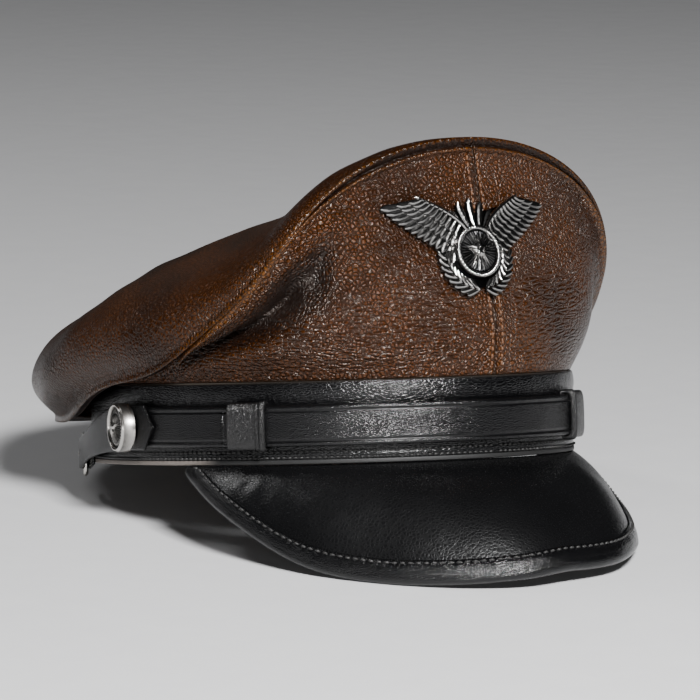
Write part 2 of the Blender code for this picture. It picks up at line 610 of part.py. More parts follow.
def make_buckle(finish, parent):
    """A rounded frame of bent wire, and a prong that lies across its rear bar."""
    count, sides = 28, 6
    turn = np.linspace(0, 2 * math.pi, count, endpoint=False)
    round_wire = np.linspace(0, 2 * math.pi, sides, endpoint=False)
    half_s = BUCKLE_LENGTH / 2 - BUCKLE_WIRE / 2
    half_z = BUCKLE_HEIGHT / 2 - BUCKLE_WIRE / 2
    power = 0.3
    flat_s = np.sign(np.cos(turn)) * np.abs(np.cos(turn))**power
    flat_z = np.sign(np.sin(turn)) * np.abs(np.sin(turn))**power
    loops = []
    for k in range(count):
        slope = np.array([half_s * (flat_s[(k + 1) % count] - flat_s[k - 1]),
                          half_z * (flat_z[(k + 1) % count] - flat_z[k - 1])])
        slope = slope / np.linalg.norm(slope)
        ring = []
        for step in round_wire:
            beside = math.cos(step) * BUCKLE_WIRE / 2
            angle = after(BUCKLE_ANGLE, half_s * flat_s[k] + slope[1] * beside)
            height = BUCKLE_MIDDLE + half_z * flat_z[k] - slope[0] * beside
            ring.append(on_band(np.array(math.radians(angle)), height,
                                BUCKLE_OUT + math.sin(step) * BUCKLE_WIRE / 2))
        loops.append(ring)
    add_object("rear_buckle", swept_mesh("rear_buckle", np.array(loops), True), finish, parent)
    radius = PRONG_WIRE / 2
    out = BUCKLE_OUT + BUCKLE_WIRE / 2 + GAP + radius
    loops = []
    for place in np.linspace(0.003, -BUCKLE_LENGTH / 2 - 0.0022, 6):
        angle = math.radians(after(BUCKLE_ANGLE, place))
        loops.append([on_band(np.array(angle), BUCKLE_MIDDLE + radius * math.cos(step),
                              out + radius * math.sin(step)) for step in round_wire])
    add_object("buckle_prong", swept_mesh("buckle_prong", np.array(loops), False), finish, parent)


# Half of the badge's outline, from the middle of its top round to the middle of its
# bottom, as shares of half its width and of its height measured from its middle.
BADGE_OUTLINE = (
    # across, up
    (0.00, 0.40), (0.10, 0.40), (0.20, 0.30), (0.34, 0.40), (0.60, 0.45), (0.86, 0.36), (1.00, 0.20),
    (0.90, 0.08), (0.72, -0.03), (0.54, -0.08), (0.38, -0.10), (0.30, -0.20), (0.28, -0.34),
    (0.16, -0.45), (0.00, -0.50),
)


BADGE_TIP = 6              # the row of the outline at the wing's tip


def crown_front(across, height):
    """The point of the crown's wall at a place across the front and a height.

    Newton's method on the wall's two parameters, from a start that is right at the seam.
    """
    angle = across / (BAND_WIDTH * 0.9)
    share = (height - BAND_HEIGHT) / CROWN_RISE
    step = 1e-4
    for _ in range(12):
        here = quarter_surface(angle, share)
        by_angle = (quarter_surface(angle + step, share) - here) / step
        by_share = (quarter_surface(angle, share + step) - here) / step
        miss_x = across - here[..., 0]
        miss_z = height - here[..., 2]
        det = by_angle[..., 0] * by_share[..., 2] - by_share[..., 0] * by_angle[..., 2]
        angle = angle + (miss_x * by_share[..., 2] - miss_z * by_share[..., 0]) / det
        share = share + (miss_z * by_angle[..., 0] - miss_x * by_angle[..., 2]) / det
    here = quarter_surface(angle, share)
    by_angle = quarter_surface(angle + step, share) - here
    by_share = quarter_surface(angle, share + step) - here
    normal = np.cross(by_angle, by_share)
    return here, normal / np.linalg.norm(normal, axis=-1, keepdims=True)


def make_badge(finish, parent):
    """A plate in the outline of two spread wings over a small shield, bent to the crown."""
    top = np.array(BADGE_OUTLINE[:BADGE_TIP + 1])
    bottom = np.array(BADGE_OUTLINE[:BADGE_TIP:-1])
    rows = 5
    loops = []
    for station in np.linspace(-0.97, 0.97, 25):
        high = np.interp(abs(station), top[:, 0], top[:, 1])
        low = np.interp(abs(station), bottom[:, 0], bottom[:, 1])
        heights = BADGE_MIDDLE + np.linspace(low, high, rows) * BADGE_HEIGHT
        across = np.full(rows, BADGE_ASIDE + station * BADGE_WIDTH / 2)
        skin, normal = crown_front(across, heights)
        face = skin + normal * (BADGE_SEAT + BADGE_WALL)
        back = skin + normal * BADGE_SEAT
        loops.append(np.concatenate([face, back[::-1]]))
    return add_object("badge", swept_mesh("badge", np.array(loops), False), finish, parent)


def rest_on_ground(parent):
    """Stand the cap on its two lowest points in front and its lowest one behind.

    Pitch and roll are found by turns, each by halving its range until the lowest points
    that it levels are level. The middle of the cap's box is then put over the origin.
    """
    pieces = [item for item in bpy.data.objects if item.type == "MESH"]
    points = np.concatenate([np.array([v.co[:] for v in item.data.vertices]) for item in pieces])
    ahead = points[:, 1] < -BAND_LENGTH / 4
    groups = {"X": (ahead, points[:, 1] > BAND_LENGTH / 4),
              "Y": (ahead & (points[:, 0] < 0), ahead & (points[:, 0] > 0))}
    angles = {"X": 0.0, "Y": 0.0}
    for axis in "XYXYXYXYXYXY":
        low, high = -0.5, 0.5
        for _ in range(40):
            angles[axis] = (low + high) / 2
            turn = Matrix.Rotation(angles["X"], 3, "X") @ Matrix.Rotation(angles["Y"], 3, "Y")
            height = points @ np.array(turn)[2]
            first, second = (height[group].min() for group in groups[axis])
            if (first < second) == (axis == "X"):
                high = angles[axis]
            else:
                low = angles[axis]
    placed = points @ np.array(turn).T
    middle = (placed.min(0) + placed.max(0)) / 2
    parent.matrix_world = Matrix.Translation((-middle[0], -middle[1], -placed[:, 2].min())) @ turn.to_4x4()
    bpy.context.view_layer.update()


def build_cap():
    """Every piece of the cap, hung on one empty."""
    for item in list(bpy.data.objects):
        bpy.data.objects.remove(item, do_unlink=True)
    cap = bpy.data.objects.new("cap", None)
    bpy.context.scene.collection.objects.link(cap)
    brown = material("brown_leather", (0.16, 0.055, 0.018), 0.38)
    black = material("black_leather", (0.012, 0.012, 0.013), 0.34)
    edge = material("cut_edge", (0.17, 0.13, 0.11), 0.6)
    silver = material("silver_metal", (0.75, 0.73, 0.70), 0.25, 1.0)
    dark = material("dark_chrome", (0.20, 0.20, 0.21), 0.22, 1.0)
    make_top("crown_top", brown, cap)
    make_quarter("crown_quarter_right", -1, brown, cap)
    make_quarter("crown_quarter_left", 1, brown, cap)
    make_ring("band", EDGE_HEIGHT + GAP, BAND_HEIGHT, -BAND_WALL, 0.0, black, cap)
    make_ring("band_edge", 0.0, EDGE_HEIGHT, -BAND_WALL, 0.0, edge, cap)
    make_peak(black, cap)
    make_binding(black, cap)
    make_chin_straps(black, cap)
    make_keeper("keeper_right", KEEPER_RIGHT, 8, black, cap)
    make_keeper("keeper_left", KEEPER_LEFT, 0, black, cap)
    make_button("button_right", -BUTTON_ANGLE, silver, cap)
    make_button("button_left", BUTTON_ANGLE, silver, cap)
    make_rear_straps(black, cap)
    make_buckle(silver, cap)
    make_badge(dark, cap)
    rest_on_ground(cap)


build_cap()
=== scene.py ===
"""A leather peaked cap: band, two-piece crown, top panel, peak, straps, buttons, buckle and badge.

Cap axes: +X is the wearer's left, -Y the front, +Z up from the bottom of the band. Each
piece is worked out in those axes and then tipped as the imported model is.
"""
import itertools
import json
import math

import bpy
import numpy as np
from mathutils import Matrix


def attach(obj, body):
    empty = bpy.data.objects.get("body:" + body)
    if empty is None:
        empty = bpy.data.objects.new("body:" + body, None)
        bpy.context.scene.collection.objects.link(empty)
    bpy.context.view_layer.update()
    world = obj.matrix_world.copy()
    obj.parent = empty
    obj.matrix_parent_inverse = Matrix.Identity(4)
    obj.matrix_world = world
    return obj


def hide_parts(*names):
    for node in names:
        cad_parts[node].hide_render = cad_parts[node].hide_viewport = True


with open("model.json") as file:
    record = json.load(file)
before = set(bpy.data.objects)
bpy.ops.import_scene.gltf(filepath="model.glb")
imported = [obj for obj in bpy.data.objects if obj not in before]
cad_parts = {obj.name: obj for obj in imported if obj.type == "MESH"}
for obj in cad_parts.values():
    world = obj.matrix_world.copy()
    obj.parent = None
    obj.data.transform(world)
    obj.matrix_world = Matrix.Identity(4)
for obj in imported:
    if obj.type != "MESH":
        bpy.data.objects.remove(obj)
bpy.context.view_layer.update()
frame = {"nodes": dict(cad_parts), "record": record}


# Head band. A strip of smooth black calf is glued round a stiff inner ring and turned
# over its top edge, where the raw cut shows. Two rows of stitching run round its foot,
# and a narrow strip of pale cut leather is glued under it.
BAND_LENGTH = 0.2074
BAND_WIDTH = 0.1738
BAND_HEIGHT = 0.0305
BAND_WALL = 0.0026
BAND_EDGE_RADIUS = 0.0009
BAND_SWELL_FROM = 0.0215
EDGE_HEIGHT = 0.0011
DYED_TO = 68.0
GAP = 0.0003
BAND_STITCH_ROWS = (0.0022, 0.0044)
STITCH_PITCH = 0.0023
THREAD = 0.00042

# Where the cap stands. The flat strip under the band faces the way that the record's
# rest face gives, which is the tip of the whole cap, and the strip's box in the cap's
# own axes has the cap's origin in the middle of its underside.
face_up = -np.array(frame["record"]["mounts"][0]["axis"])
roll = math.asin(face_up[0])
pitch = math.atan2(-face_up[1], face_up[2])
TIP = (np.array([[1, 0, 0],
                 [0, math.cos(pitch), -math.sin(pitch)],
                 [0, math.sin(pitch), math.cos(pitch)]])
       @ np.array([[math.cos(roll), 0, math.sin(roll)],
                   [0, 1, 0],
                   [-math.sin(roll), 0, math.cos(roll)]]))
rest_strip = np.array([v.co[:] for v in frame["nodes"]["band_edge"].data.vertices]) @ TIP
low, high = rest_strip.min(0), rest_strip.max(0)
PLACE = TIP @ np.append((low + high)[:2] / 2, low[2])


def placed(points):
    """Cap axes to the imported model's axes: the tip, then the move."""
    return points @ TIP.T + PLACE


def swept(sections, closed=False, **marks):
    """A solid from loops of points, sections[..., i, j] carried along i.

    Neighbouring points join as quads. Open ends are closed by strips across the loop, from
    point k to its opposite one. The whole is turned outwards by the sign of its volume,
    the sum of a.(b x c) / 6 over its faces. Leading axes hold repeats of one shape.
    """
    many, (count, loop) = int(np.prod(sections.shape[:-3])), sections.shape[-3:-1]
    i = np.arange(count if closed else count - 1)[:, None]
    j = np.arange(loop)
    near, far = i * loop, (i + 1) % count * loop
    quads = np.stack([near + j, far + j, far + (j + 1) % loop, near + (j + 1) % loop], -1).reshape(-1, 4)
    if not closed:
        k = np.arange(loop // 2 - 1)
        strip = np.stack([k, k + 1, loop - 2 - k, loop - 1 - k], -1)
        quads = np.concatenate([quads, strip, strip[:, ::-1] + (count - 1) * loop])
    points = sections.reshape(-1, 3)
    a, b, c, d = (points[quads[:, n]] for n in range(4))
    if np.sum(a * (np.cross(b, c) + np.cross(c, d))) < 0:
        quads = quads[:, ::-1]
    quads = (quads + np.arange(many)[:, None, None] * count * loop).reshape(-1, 4)
    shape = sections.shape[:-1]
    return points, quads, {key: np.broadcast_to(value, shape).ravel() for key, value in marks.items()}


def make_piece(name, solids, finish, nodes=(), sharp=None):
    """One object from solids, put where the cap stands, with their marks as attributes."""
    starts = np.cumsum([0] + [len(s[0]) for s in solids])
    points = placed(np.concatenate([s[0] for s in solids]))
    quads = np.concatenate([s[1] + start for s, start in zip(solids, starts)]).astype(np.int32)
    mesh = bpy.data.meshes.new(name)
    mesh.vertices.add(len(points))
    mesh.vertices.foreach_set("co", points.astype(np.float32).ravel())
    mesh.loops.add(quads.size)
    mesh.loops.foreach_set("vertex_index", quads.ravel())
    mesh.polygons.add(len(quads))
    mesh.polygons.foreach_set("loop_start", np.arange(len(quads), dtype=np.int32) * 4)
    mesh.update(calc_edges=True)
    for key in sorted({key for s in solids for key in s[2]}):
        values = np.concatenate([s[2].get(key, np.zeros(len(s[0]))) for s in solids])
        attribute = mesh.attributes.new(key, "FLOAT", "POINT")
        attribute.data.foreach_set("value", values.astype(np.float32))
    mesh.shade_smooth()
    if sharp:
        mesh.set_sharp_from_angle(angle=math.radians(sharp))
    mesh.materials.append(finish)
    made = bpy.data.objects.new(name, mesh)
    bpy.context.scene.collection.objects.link(made)
    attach(made, "root")
    if nodes:
        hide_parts(*nodes)


def bell(distance, width):
    """A smooth hump, e to the power of minus the square of distance over width."""
    return np.exp(-(distance / width)**2)


def ease(share):
    """From 0 to 1 with flat ends: 3 t^2 - 2 t^3, with t held between 0 and 1."""
    share = np.clip(share, 0, 1)
    return share * share * (3 - 2 * share)


LATTICE = np.random.default_rng(11).random((32, 32, 32))
SEED_SHIFT = 7.31


def waver(points, size, seed=0):
    """Smooth noise between -1 and 1: random numbers on a lattice of this size, and between
    them a mean weighted by the eased distance on each axis."""
    at = points / size + seed * SEED_SHIFT
    corner = np.floor(at).astype(int)
    blend = ease(at - corner)
    total = 0
    for step in itertools.product((0, 1), repeat=3):
        weight = np.prod(np.where(step, blend, 1 - blend), -1)
        x, y, z = np.moveaxis((corner + step) % len(LATTICE), -1, 0)
        total = total + weight * LATTICE[x, y, z]
    return 2 * total - 1


class Value:
    """A number that varies over a surface. Arithmetic on it adds Math nodes."""

    def __init__(self, tree, socket):
        self.tree = tree
        self.socket = socket

    def maths(self, operation, first, second=0.0, clamp=False):
        """One Math node on two values or numbers."""
        node = self.tree.nodes.new("ShaderNodeMath")
        node.operation = operation
        node.use_clamp = clamp
        for socket, item in zip(node.inputs, (first, second)):
            if isinstance(item, Value):
                self.tree.links.new(item.socket, socket)
            else:
                socket.default_value = item
        return Value(self.tree, node.outputs[0])

    def __add__(self, other):
        return self.maths("ADD", self, other)

    def __radd__(self, other):
        return self.maths("ADD", other, self)

    def __sub__(self, other):
        return self.maths("SUBTRACT", self, other)

    def __rsub__(self, other):
        return self.maths("SUBTRACT", other, self)

    def __mul__(self, other):
        return self.maths("MULTIPLY", self, other)

    def __pow__(self, other):
        return self.maths("POWER", self, other)

    def held(self):
        """The same number, kept between 0 and 1."""
        return self.maths("ADD", self, 0.0, clamp=True)

    def sine(self):
        """Its sine, as of radians."""
        return self.maths("SINE", self)


class Finish:
    """One material: constants sit on its shader, and what varies is linked in."""

    def __init__(self, name, **constants):
        self.material = bpy.data.materials.new(name)
        self.material.use_nodes = True
        self.tree = self.material.node_tree
        shader = self.tree.nodes["Principled BSDF"]
        self.sockets = {socket.name.lower().replace(" ", "_"): socket for socket in shader.inputs}
        for key, value in constants.items():
            self.sockets[key].default_value = value

    def node(self, kind, settings=(), inputs=(), output=0):
        """Any other node: its type, its settings, then the values or links of its sockets."""
        node = self.tree.nodes.new("ShaderNode" + kind)
        for key, value in dict(settings).items():
            setattr(node, key, value)
        for key, value in dict(inputs).items():
            if isinstance(value, Value):
                self.tree.links.new(value.socket, node.inputs[key])
            else:
                node.inputs[key].default_value = value
        return Value(self.tree, node.outputs[output])

    def place(self, stretch=(1, 1, 1)):
        """Object coordinates, stretched."""
        return self.node("Mapping", {}, {0: self.node("TexCoord", output=3), "Scale": stretch})

    def mark(self, name):
        """A number painted on the mesh."""
        return self.node("Attribute", {"attribute_name": name}, output=2)

    def noise(self, at, scale, detail=3.0, rough=0.55):
        """Clouds, between 0 and 1."""
        inputs = {"Vector": at, "Scale": scale, "Detail": detail, "Roughness": rough}
        return self.node("TexNoise", {}, inputs)

    def warped(self, at, scale, by):
        """Coordinates pushed about by noise."""
        push = self.node("TexNoise", {}, {"Vector": at, "Scale": scale, "Detail": 2.0}, output=1)
        push = self.node("VectorMath", {"operation": "SUBTRACT"}, {0: push, 1: (0.5,) * 3})
        push = self.node("VectorMath", {"operation": "SCALE"}, {0: push, "Scale": by})
        return self.node("VectorMath", {"operation": "ADD"}, {0: at, 1: push})

    def mix(self, factor, first, second):
        """A colour between two colours."""
        first, second = ((*c, 1.0) if isinstance(c, tuple) else c for c in (first, second))
        return self.node("Mix", {"data_type": "RGBA"}, {0: factor, 6: first, 7: second}, output=2)

    def cells(self, at, size):
        """The distance to the edge of the nearest of the cells of this size."""
        return self.node("TexVoronoi", {"feature": "DISTANCE_TO_EDGE"}, {"Vector": at, "Scale": 1 / size})

    def waves(self, direction, scale, distortion=0.0):
        """Even bands, across one axis or aslant."""
        inputs = {"Vector": self.place(), "Scale": scale, "Distortion": distortion}
        return self.node("TexWave", {"bands_direction": direction}, inputs)

    def bump(self, height, distance):
        """The surface's direction changed by a height between 0 and 1 of this many metres."""
        return self.node("Bump", {}, {"Height": height, "Distance": distance, "Strength": 1.0})

    def link(self, **values):
        """Varying values go into the shader's sockets of those names."""
        for key, value in values.items():
            self.tree.links.new(value.socket, self.sockets[key])
        return self.material


def leather(name, deep, plain, worn, pebble, grain, shine, flesh=(0.15, 0.085, 0.05),
            stretch=(1, 1, 1), crease=0.5, drawn=0.0, ior=1.5, sheen=(1.0, 1.0, 1.0, 1.0)):
    """Finished hide: pebbles between fine creases, a mottled colour with painted shade and painted
    highlight in it, and raw flesh inside.

    deep, plain and worn are the colours in valleys, over most of the hide and on its
    ridges: deep is a dark mottle and painted shade, and the ridge colour is partly wear and partly
    a painted highlight. crease is the strength of the painted shade between the pebbles.
    pebble is the size of a pebble and grain the depth of its creases, both in metres, and
    drawn is how far patches of the grain are pulled out into long fine wrinkles.
    Marks: deep, painted shade in folds, seams and grooves, worn, wear and a painted
    highlight on ridges and edges, flesh, the back, slack and taut, where the grain is drawn out
    level or upright, dull, where the polish has gone, and pleat, the depth of the small pleats
    whose beat is the mark of that name.
    """
    made = Finish(name, ior=ior, specular_tint=sheen)
    at = made.place(stretch)

    # Each pebble is a low dome with smaller ones on it.
    bent = made.warped(at, 0.35 / pebble, 0.9 * pebble)
    dome = 1 - (1 - (made.cells(bent, pebble) * 2.2).held())**2.0
    small = 1 - (1 - (made.cells(bent, pebble / 2.7) * 3.0).held())**2.0
    raised = dome * 0.80 + small * 0.12 + made.noise(at, 1.1 / pebble, 2.0) * 0.2

    # Where the hide is pulled, long cells lie level or upright in place of the pebbles.
    if drawn:
        for mark, ways in (("slack", (0.45, 0.45, 1.7)), ("taut", (1.5, 1.5, 0.42))):
            lines = made.cells(made.warped(made.place(ways), 45.0, 0.006), pebble / 0.62)
            pulled = ((made.noise(at, 40.0, 1.0) * 0.6 + made.mark(mark) - 0.5) * 2.5).held() * drawn
            raised = raised * (1 - pulled * 0.6) + (1 - (1 - (lines * 2.4).held())**2.0) * pulled
        raised = raised + made.mark("beat").sine() * made.mark("pleat")
    raised = raised * (1 - made.mark("worn") * 0.8) * (1 - made.mark("deep") * 0.3)

    # The colour is mottled and lighter in random patches of wear. Ridges and pebble tops are lighter too,
    # partly wear and partly painted highlight, and the creases between pebbles and places marked deep are
    # darkened by painted shade.
    mottle = made.noise(at, 22.0, 5.0, 0.6)
    patch = made.noise(at, 9.0, 2.0)
    dye_light_and_shade = made.mix(((mottle - 0.26) * 3.4).held(), deep, plain)
    rub_and_highlight = (made.mark("worn") * 0.6 + (patch - 0.50) * 1.4).held() * (dome * 0.6 + 0.4)
    dye_light_and_shade = made.mix(rub_and_highlight, dye_light_and_shade, worn)
    dye_light_and_shade = made.mix(((1 - dome) * crease + made.mark("deep")).held(), dye_light_and_shade, deep)

    # The flesh side is pale, dull and fuzzy.
    back = made.mark("flesh").held()
    fuzz = made.noise(at, 900.0, 3.0)
    raw = made.mix(fuzz, tuple(0.6 * c for c in flesh), tuple(1.25 * c for c in flesh))
    gloss = shine + (1 - dome) * 0.06 + (mottle - 0.5) * 0.06 + back * 0.5
    gloss = gloss + made.mark("deep") * 0.2 + made.mark("dull") * 0.38
    relief = raised * (1 - back) + fuzz * back
    return made.link(base_color=made.mix(back, dye_light_and_shade, raw), roughness=gloss.held(),
                     normal=made.bump(relief, grain))


def oval(angle, out=0.0):
    """A point of the band in plan: half the width times the sine and half the length times
    the cosine of the angle from the front, moved out along the oval's normal."""
    across = np.sin(angle) * BAND_WIDTH / 2
    along = -np.cos(angle) * BAND_LENGTH / 2
    normal = np.stack([np.sin(angle) / BAND_WIDTH, -np.cos(angle) / BAND_LENGTH], -1)
    normal = normal / np.linalg.norm(normal, axis=-1, keepdims=True)
    return np.stack([across, along], -1) + normal * np.asarray(out)[..., None]


def on_band(angle, height, out):
    """A point beside the band, at a height and a distance out from its face."""
    angle, height, out = np.broadcast_arrays(angle, height, out)
    return np.concatenate([oval(angle, out), height[..., None]], -1)


def rounded(low, high, inside, outside, radius, steps=5):
    """The loop of an upright wall with rounded corners, as out and height, outer face first."""
    turn = np.linspace(0, math.pi / 2, steps)
    middles = ((outside - radius, low + radius), (outside - radius, high - radius),
               (inside + radius, high - radius), (inside + radius, low + radius))
    turns = [turn + k * math.pi / 2 for k in range(-1, 3)]
    return np.concatenate([np.stack([x + radius * np.cos(turn), z + radius * np.sin(turn)], -1)
                           for (x, z), turn in zip(middles, turns)])


def stitches(path, outward, pitch=STITCH_PITCH, length=0.7, thick=THREAD):
    """Thread showing along a row: short half-sunk grains, one for each pitch of the path.

    Each is a tube of six sides whose radius falls to nothing at its two ends.
    """
    run = np.append(0, np.cumsum(np.linalg.norm(np.diff(path, axis=0), axis=1)))
    at = np.arange(pitch / 2, run[-1], pitch)
    centre, up = (np.stack([np.interp(at, run, item[:, k]) for k in range(3)], -1)
                  for item in (path, outward))
    ahead = np.stack([np.interp(at, run, np.gradient(path[:, k], run)) for k in range(3)], -1)
    ahead = ahead / np.linalg.norm(ahead, axis=1, keepdims=True)
    up = up / np.linalg.norm(up, axis=1, keepdims=True)
    side = np.cross(ahead, up)
    along = np.array([-1, -0.7, 0, 0.7, 1])
    radius = thick * np.array([0.25, 0.8, 1.0, 0.8, 0.25])
    lift = thick * np.array([-0.7, 0.1, 0.35, 0.1, -0.7])
    turn = np.linspace(0, 2 * math.pi, 6, endpoint=False)
    spine = (centre[:, None] + ahead[:, None] * (along * pitch * length / 2)[:, None]
             + up[:, None] * lift[:, None])[:, :, None]
    ring = (side[:, None, None] * np.cos(turn)[:, None] * radius[:, None, None]
            + up[:, None, None] * np.sin(turn)[:, None] * radius[:, None, None])
    return swept(spine + ring)


# The band's section is its rounded outline with rows added down its face. The calf is a
# little uneven, swells over the inner ring's top and sinks at the stitching.
around = np.linspace(0, 2 * math.pi, 480, endpoint=False)
from_front = np.minimum(around, 2 * math.pi - around)[:, None]
loop = rounded(EDGE_HEIGHT + GAP, BAND_HEIGHT, -BAND_WALL, 0.0, BAND_EDGE_RADIUS)
heights = np.linspace(EDGE_HEIGHT + 0.0016, BAND_HEIGHT - 0.0012, 30)
loop = np.concatenate([loop[:5], np.stack([0 * heights, heights], -1), loop[5:]])
outs, heights = loop[:, 0] + 0 * around[:, None], loop[:, 1] + 0 * around[:, None]
body = on_band(around[:, None], heights, outs)
facing = (outs > -0.0004).astype(float)
pad = 0.00028 * waver(body, 0.014) + 0.00010 * waver(body, 0.005, 2)
swell = np.clip((heights - BAND_SWELL_FROM) / (BAND_HEIGHT - BAND_SWELL_FROM), 0, 1)
pad += 0.0006 * np.sin(math.pi * swell)
sunk = sum(bell(heights - row, 0.0005) for row in BAND_STITCH_ROWS) * 0.00035
outs = outs + facing * (pad - sunk)
bare = 0.2 + 0.4 * ease((from_front - 0.94) / 0.5)
# Painted shade darkens the sunk stitch rows through the deep mark; the face is marked for a little wear.
band = swept(on_band(around[:, None], heights, outs), True, worn=facing * 0.1,
             flesh=np.maximum(outs < -BAND_WALL * 0.8, bare * bell(heights - BAND_HEIGHT, 0.0005)),
             deep=facing * sum(bell(heights - row, 0.0004) for row in BAND_STITCH_ROWS))
# The first black below is a dark mottle and also the painted shade in the creases and sunk stitch rows of the
# black leathers.
INK_AND_SHADE = (0.0015, 0.0015, 0.0017)
BLACK_DYE = (0.0026, 0.0026, 0.0029)
RUBBED_BLACK = (0.008, 0.0077, 0.0077)
BLACK_FLESH = (0.10, 0.085, 0.07)
black = leather("black_calf", INK_AND_SHADE, BLACK_DYE, RUBBED_BLACK, pebble=0.0014, grain=0.00015, shine=0.12,
                flesh=BLACK_FLESH, stretch=(0.7, 1.0, 1.6), ior=1.40)
make_piece("head_band", [band], black, ["band"])


def thread_finish(name, dark, light):
    """Twisted thread: slanting strands, darker between them."""
    thread = Finish(name, roughness=0.5)
    twist = thread.waves("DIAGONAL", 900.0)
    return thread.link(base_color=thread.mix(twist, dark, light), normal=thread.bump(twist, 0.00006))


black_thread = thread_finish("black_thread", (0.006, 0.006, 0.006), (0.028, 0.027, 0.026))
outward = on_band(around, 0.0, 1.0) - on_band(around, 0.0, 0.0)
rows = [stitches(on_band(around, row, 0.00005), outward) for row in BAND_STITCH_ROWS]
make_piece("band_stitching", rows, black_thread)
strip_loop = rounded(-0.8 * GAP, EDGE_HEIGHT + 1.2 * GAP, -BAND_WALL, 0.0, 0.00035, 4)
strip = on_band(around[:, None], strip_loop[:, 1], strip_loop[:, 0] + 0 * around[:, None])
raw = Finish("cut_leather_edge", roughness=0.6)
layers = raw.waves("Z", 700.0, 3.0)
fibre = raw.noise(raw.place((1, 1, 4)), 500.0)
cut = raw.mix(fibre * 0.7 + layers * 0.3, (0.07, 0.060, 0.052), (0.22, 0.19, 0.17))
cut_edge = raw.link(base_color=raw.mix(raw.mark("dyed").held(), cut, (0.006, 0.006, 0.006)),
                    normal=raw.bump(fibre, 0.0001))
dyed = 1 - ease((np.degrees(from_front) - DYED_TO) / 8)
make_piece("band_lower_strip", [swept(strip, True, dyed=dyed)], cut_edge, ["band_edge"])


# Crown wall. Two quarters of burnished brown pebble-grain leather meet in a seam in front
# and one behind. The seam allowance is turned back and topstitched on both sides, the
# bottom is tucked inside the band, and the leather above has slumped into folds.
CROWN_RISE = 0.086
RIM_LENGTH = 0.2118
RIM_WIDTH = 0.1916
TOP_RISE = 0.0945
LEATHER = 0.0018
SEAM_ROLL = 0.0026
HEM = 0.007
TOPSTITCH_IN = 0.0024
FLESH_FROM = 0.004
SEAM_GAP = 0.12
UP = np.array([0.0, 0.0, 1.0])

# One row each 20 degrees from the front to the back: the rim seam as shares of half the
# rim's width and length and of the rise, and the pulls of wall and top beside it.
CROWN_SECTIONS = np.array([
    # side, front, rise, foot_out, foot_up, lip_out, lip_up, top_out, top_up
    (0.000, 0.869, 1.000, 0.05, 0.36, 0.02, -0.30, -0.05, 0.13),
    (0.645, 0.784, 0.775, 0.06, 0.28, 0.04, -0.24, 0.06, 0.14),
    (0.854, 0.624, 0.430, 0.09, 0.20, 0.04, -0.12, 0.15, 0.17),
    (0.955, 0.372, 0.176, 0.10, 0.16, 0.02, -0.02, 0.23, 0.25),
    (0.990, 0.105, 0.030, 0.08, 0.13, -0.02, 0.06, 0.33, 0.36),
    (0.965, -0.205, -0.025, 0.07, 0.10, -0.03, 0.08, 0.50, 0.30),
    (0.862, -0.500, -0.140, 0.09, 0.10, -0.02, 0.12, 0.62, 0.24),
    (0.716, -0.790, -0.165, 0.11, 0.11, -0.02, 0.12, 0.54, 0.33),
    (0.440, -1.035, -0.185, 0.12, 0.11, -0.02, 0.12, 0.38, 0.42),
    (0.000, -1.131, -0.192, 0.12, 0.11, -0.02, 0.12, 0.24, 0.48),
])

# Folds, from one place to another: degrees from the front and share from band to rim,
# then depth and width as shares of the rise. A negative depth is a ridge.
FOLDS = (
    # side, angle_a, share_a, angle_b, share_b, depth, width
    (-1, 33, 0.92, 42, 0.55, 0.085, 0.085),
    (-1, 42, 0.62, 72, 0.42, 0.075, 0.090),
    (-1, 30, 0.35, 62, 0.22, -0.030, 0.120),
    (1, 36, 0.85, 60, 0.45, 0.045, 0.120),
)

# The same folds where the hide has creased sharply, and the soft ridge under the rim.
CREASES = (
    (-1, 23, 0.79, 31, 0.58, 0.060, 0.030),
    (-1, 27, 0.75, 46, 0.64, 0.070, 0.050),
    (-1, 46, 0.63, 78, 0.25, 0.065, 0.060),
    (-1, 14, 0.845, 38, 0.855, -0.022, 0.020),
    (-1, 38, 0.855, 68, 0.790, -0.024, 0.022),
    (-1, 2, 0.15, 36, 0.13, -0.040, 0.090),
    (1, 30, 0.82, 44, 0.55, 0.030, 0.050),
)


def smooth_table(column, angle, mirrored=False):
    """A column of the table at any angle: the sum of cosines of whole multiples of the
    angle, or of sines where the two sides mirror, that passes through every row."""
    steps = np.linspace(0, math.pi, len(column))
    order = np.arange(len(column))
    if mirrored:
        order = order[1:-1]
        weights = np.linalg.solve(np.sin(np.outer(steps[1:-1], order)), column[1:-1])
        return np.sin(np.multiply.outer(angle, order)) @ weights
    weights = np.linalg.solve(np.cos(np.outer(steps, order)), column)
    return np.cos(np.multiply.outer(angle, order)) @ weights


def bezier(a, b, c, d, share):
    """A cubic curve from a to d that leaves towards b and arrives from c."""
    share = share[..., None]
    rest = 1 - share
    return rest**3 * a + 3 * rest**2 * share * b + 3 * rest * share**2 * c + share**3 * d


def crown_frame(angle):
    """Rim seam points, outward directions and the six pulls of each section."""
    table = CROWN_SECTIONS.T
    rim = np.stack([smooth_table(table[0], angle, True) * RIM_WIDTH / 2,
                    -smooth_table(table[1], angle) * RIM_LENGTH / 2,
                    BAND_HEIGHT + smooth_table(table[2], angle) * CROWN_RISE], -1)
    pulls = [smooth_table(column, angle)[..., None] * CROWN_RISE for column in table[3:]]
    return rim, on_band(angle, 0.0, 1.0) - on_band(angle, 0.0, 0.0), pulls


def quarter_surface(angle, share):
    """The crown's wall: a cubic curve from the band (share 0) to the rim seam (share 1)."""
    rim, outward, (foot_out, foot_up, lip_out, lip_up, _, _) = crown_frame(angle)
    foot = on_band(angle, BAND_HEIGHT + GAP, -0.2 * BAND_WALL)
    above_foot = foot + outward * foot_out + UP * foot_up
    return bezier(foot, above_foot, rim + outward * lip_out + UP * lip_up, rim, share)


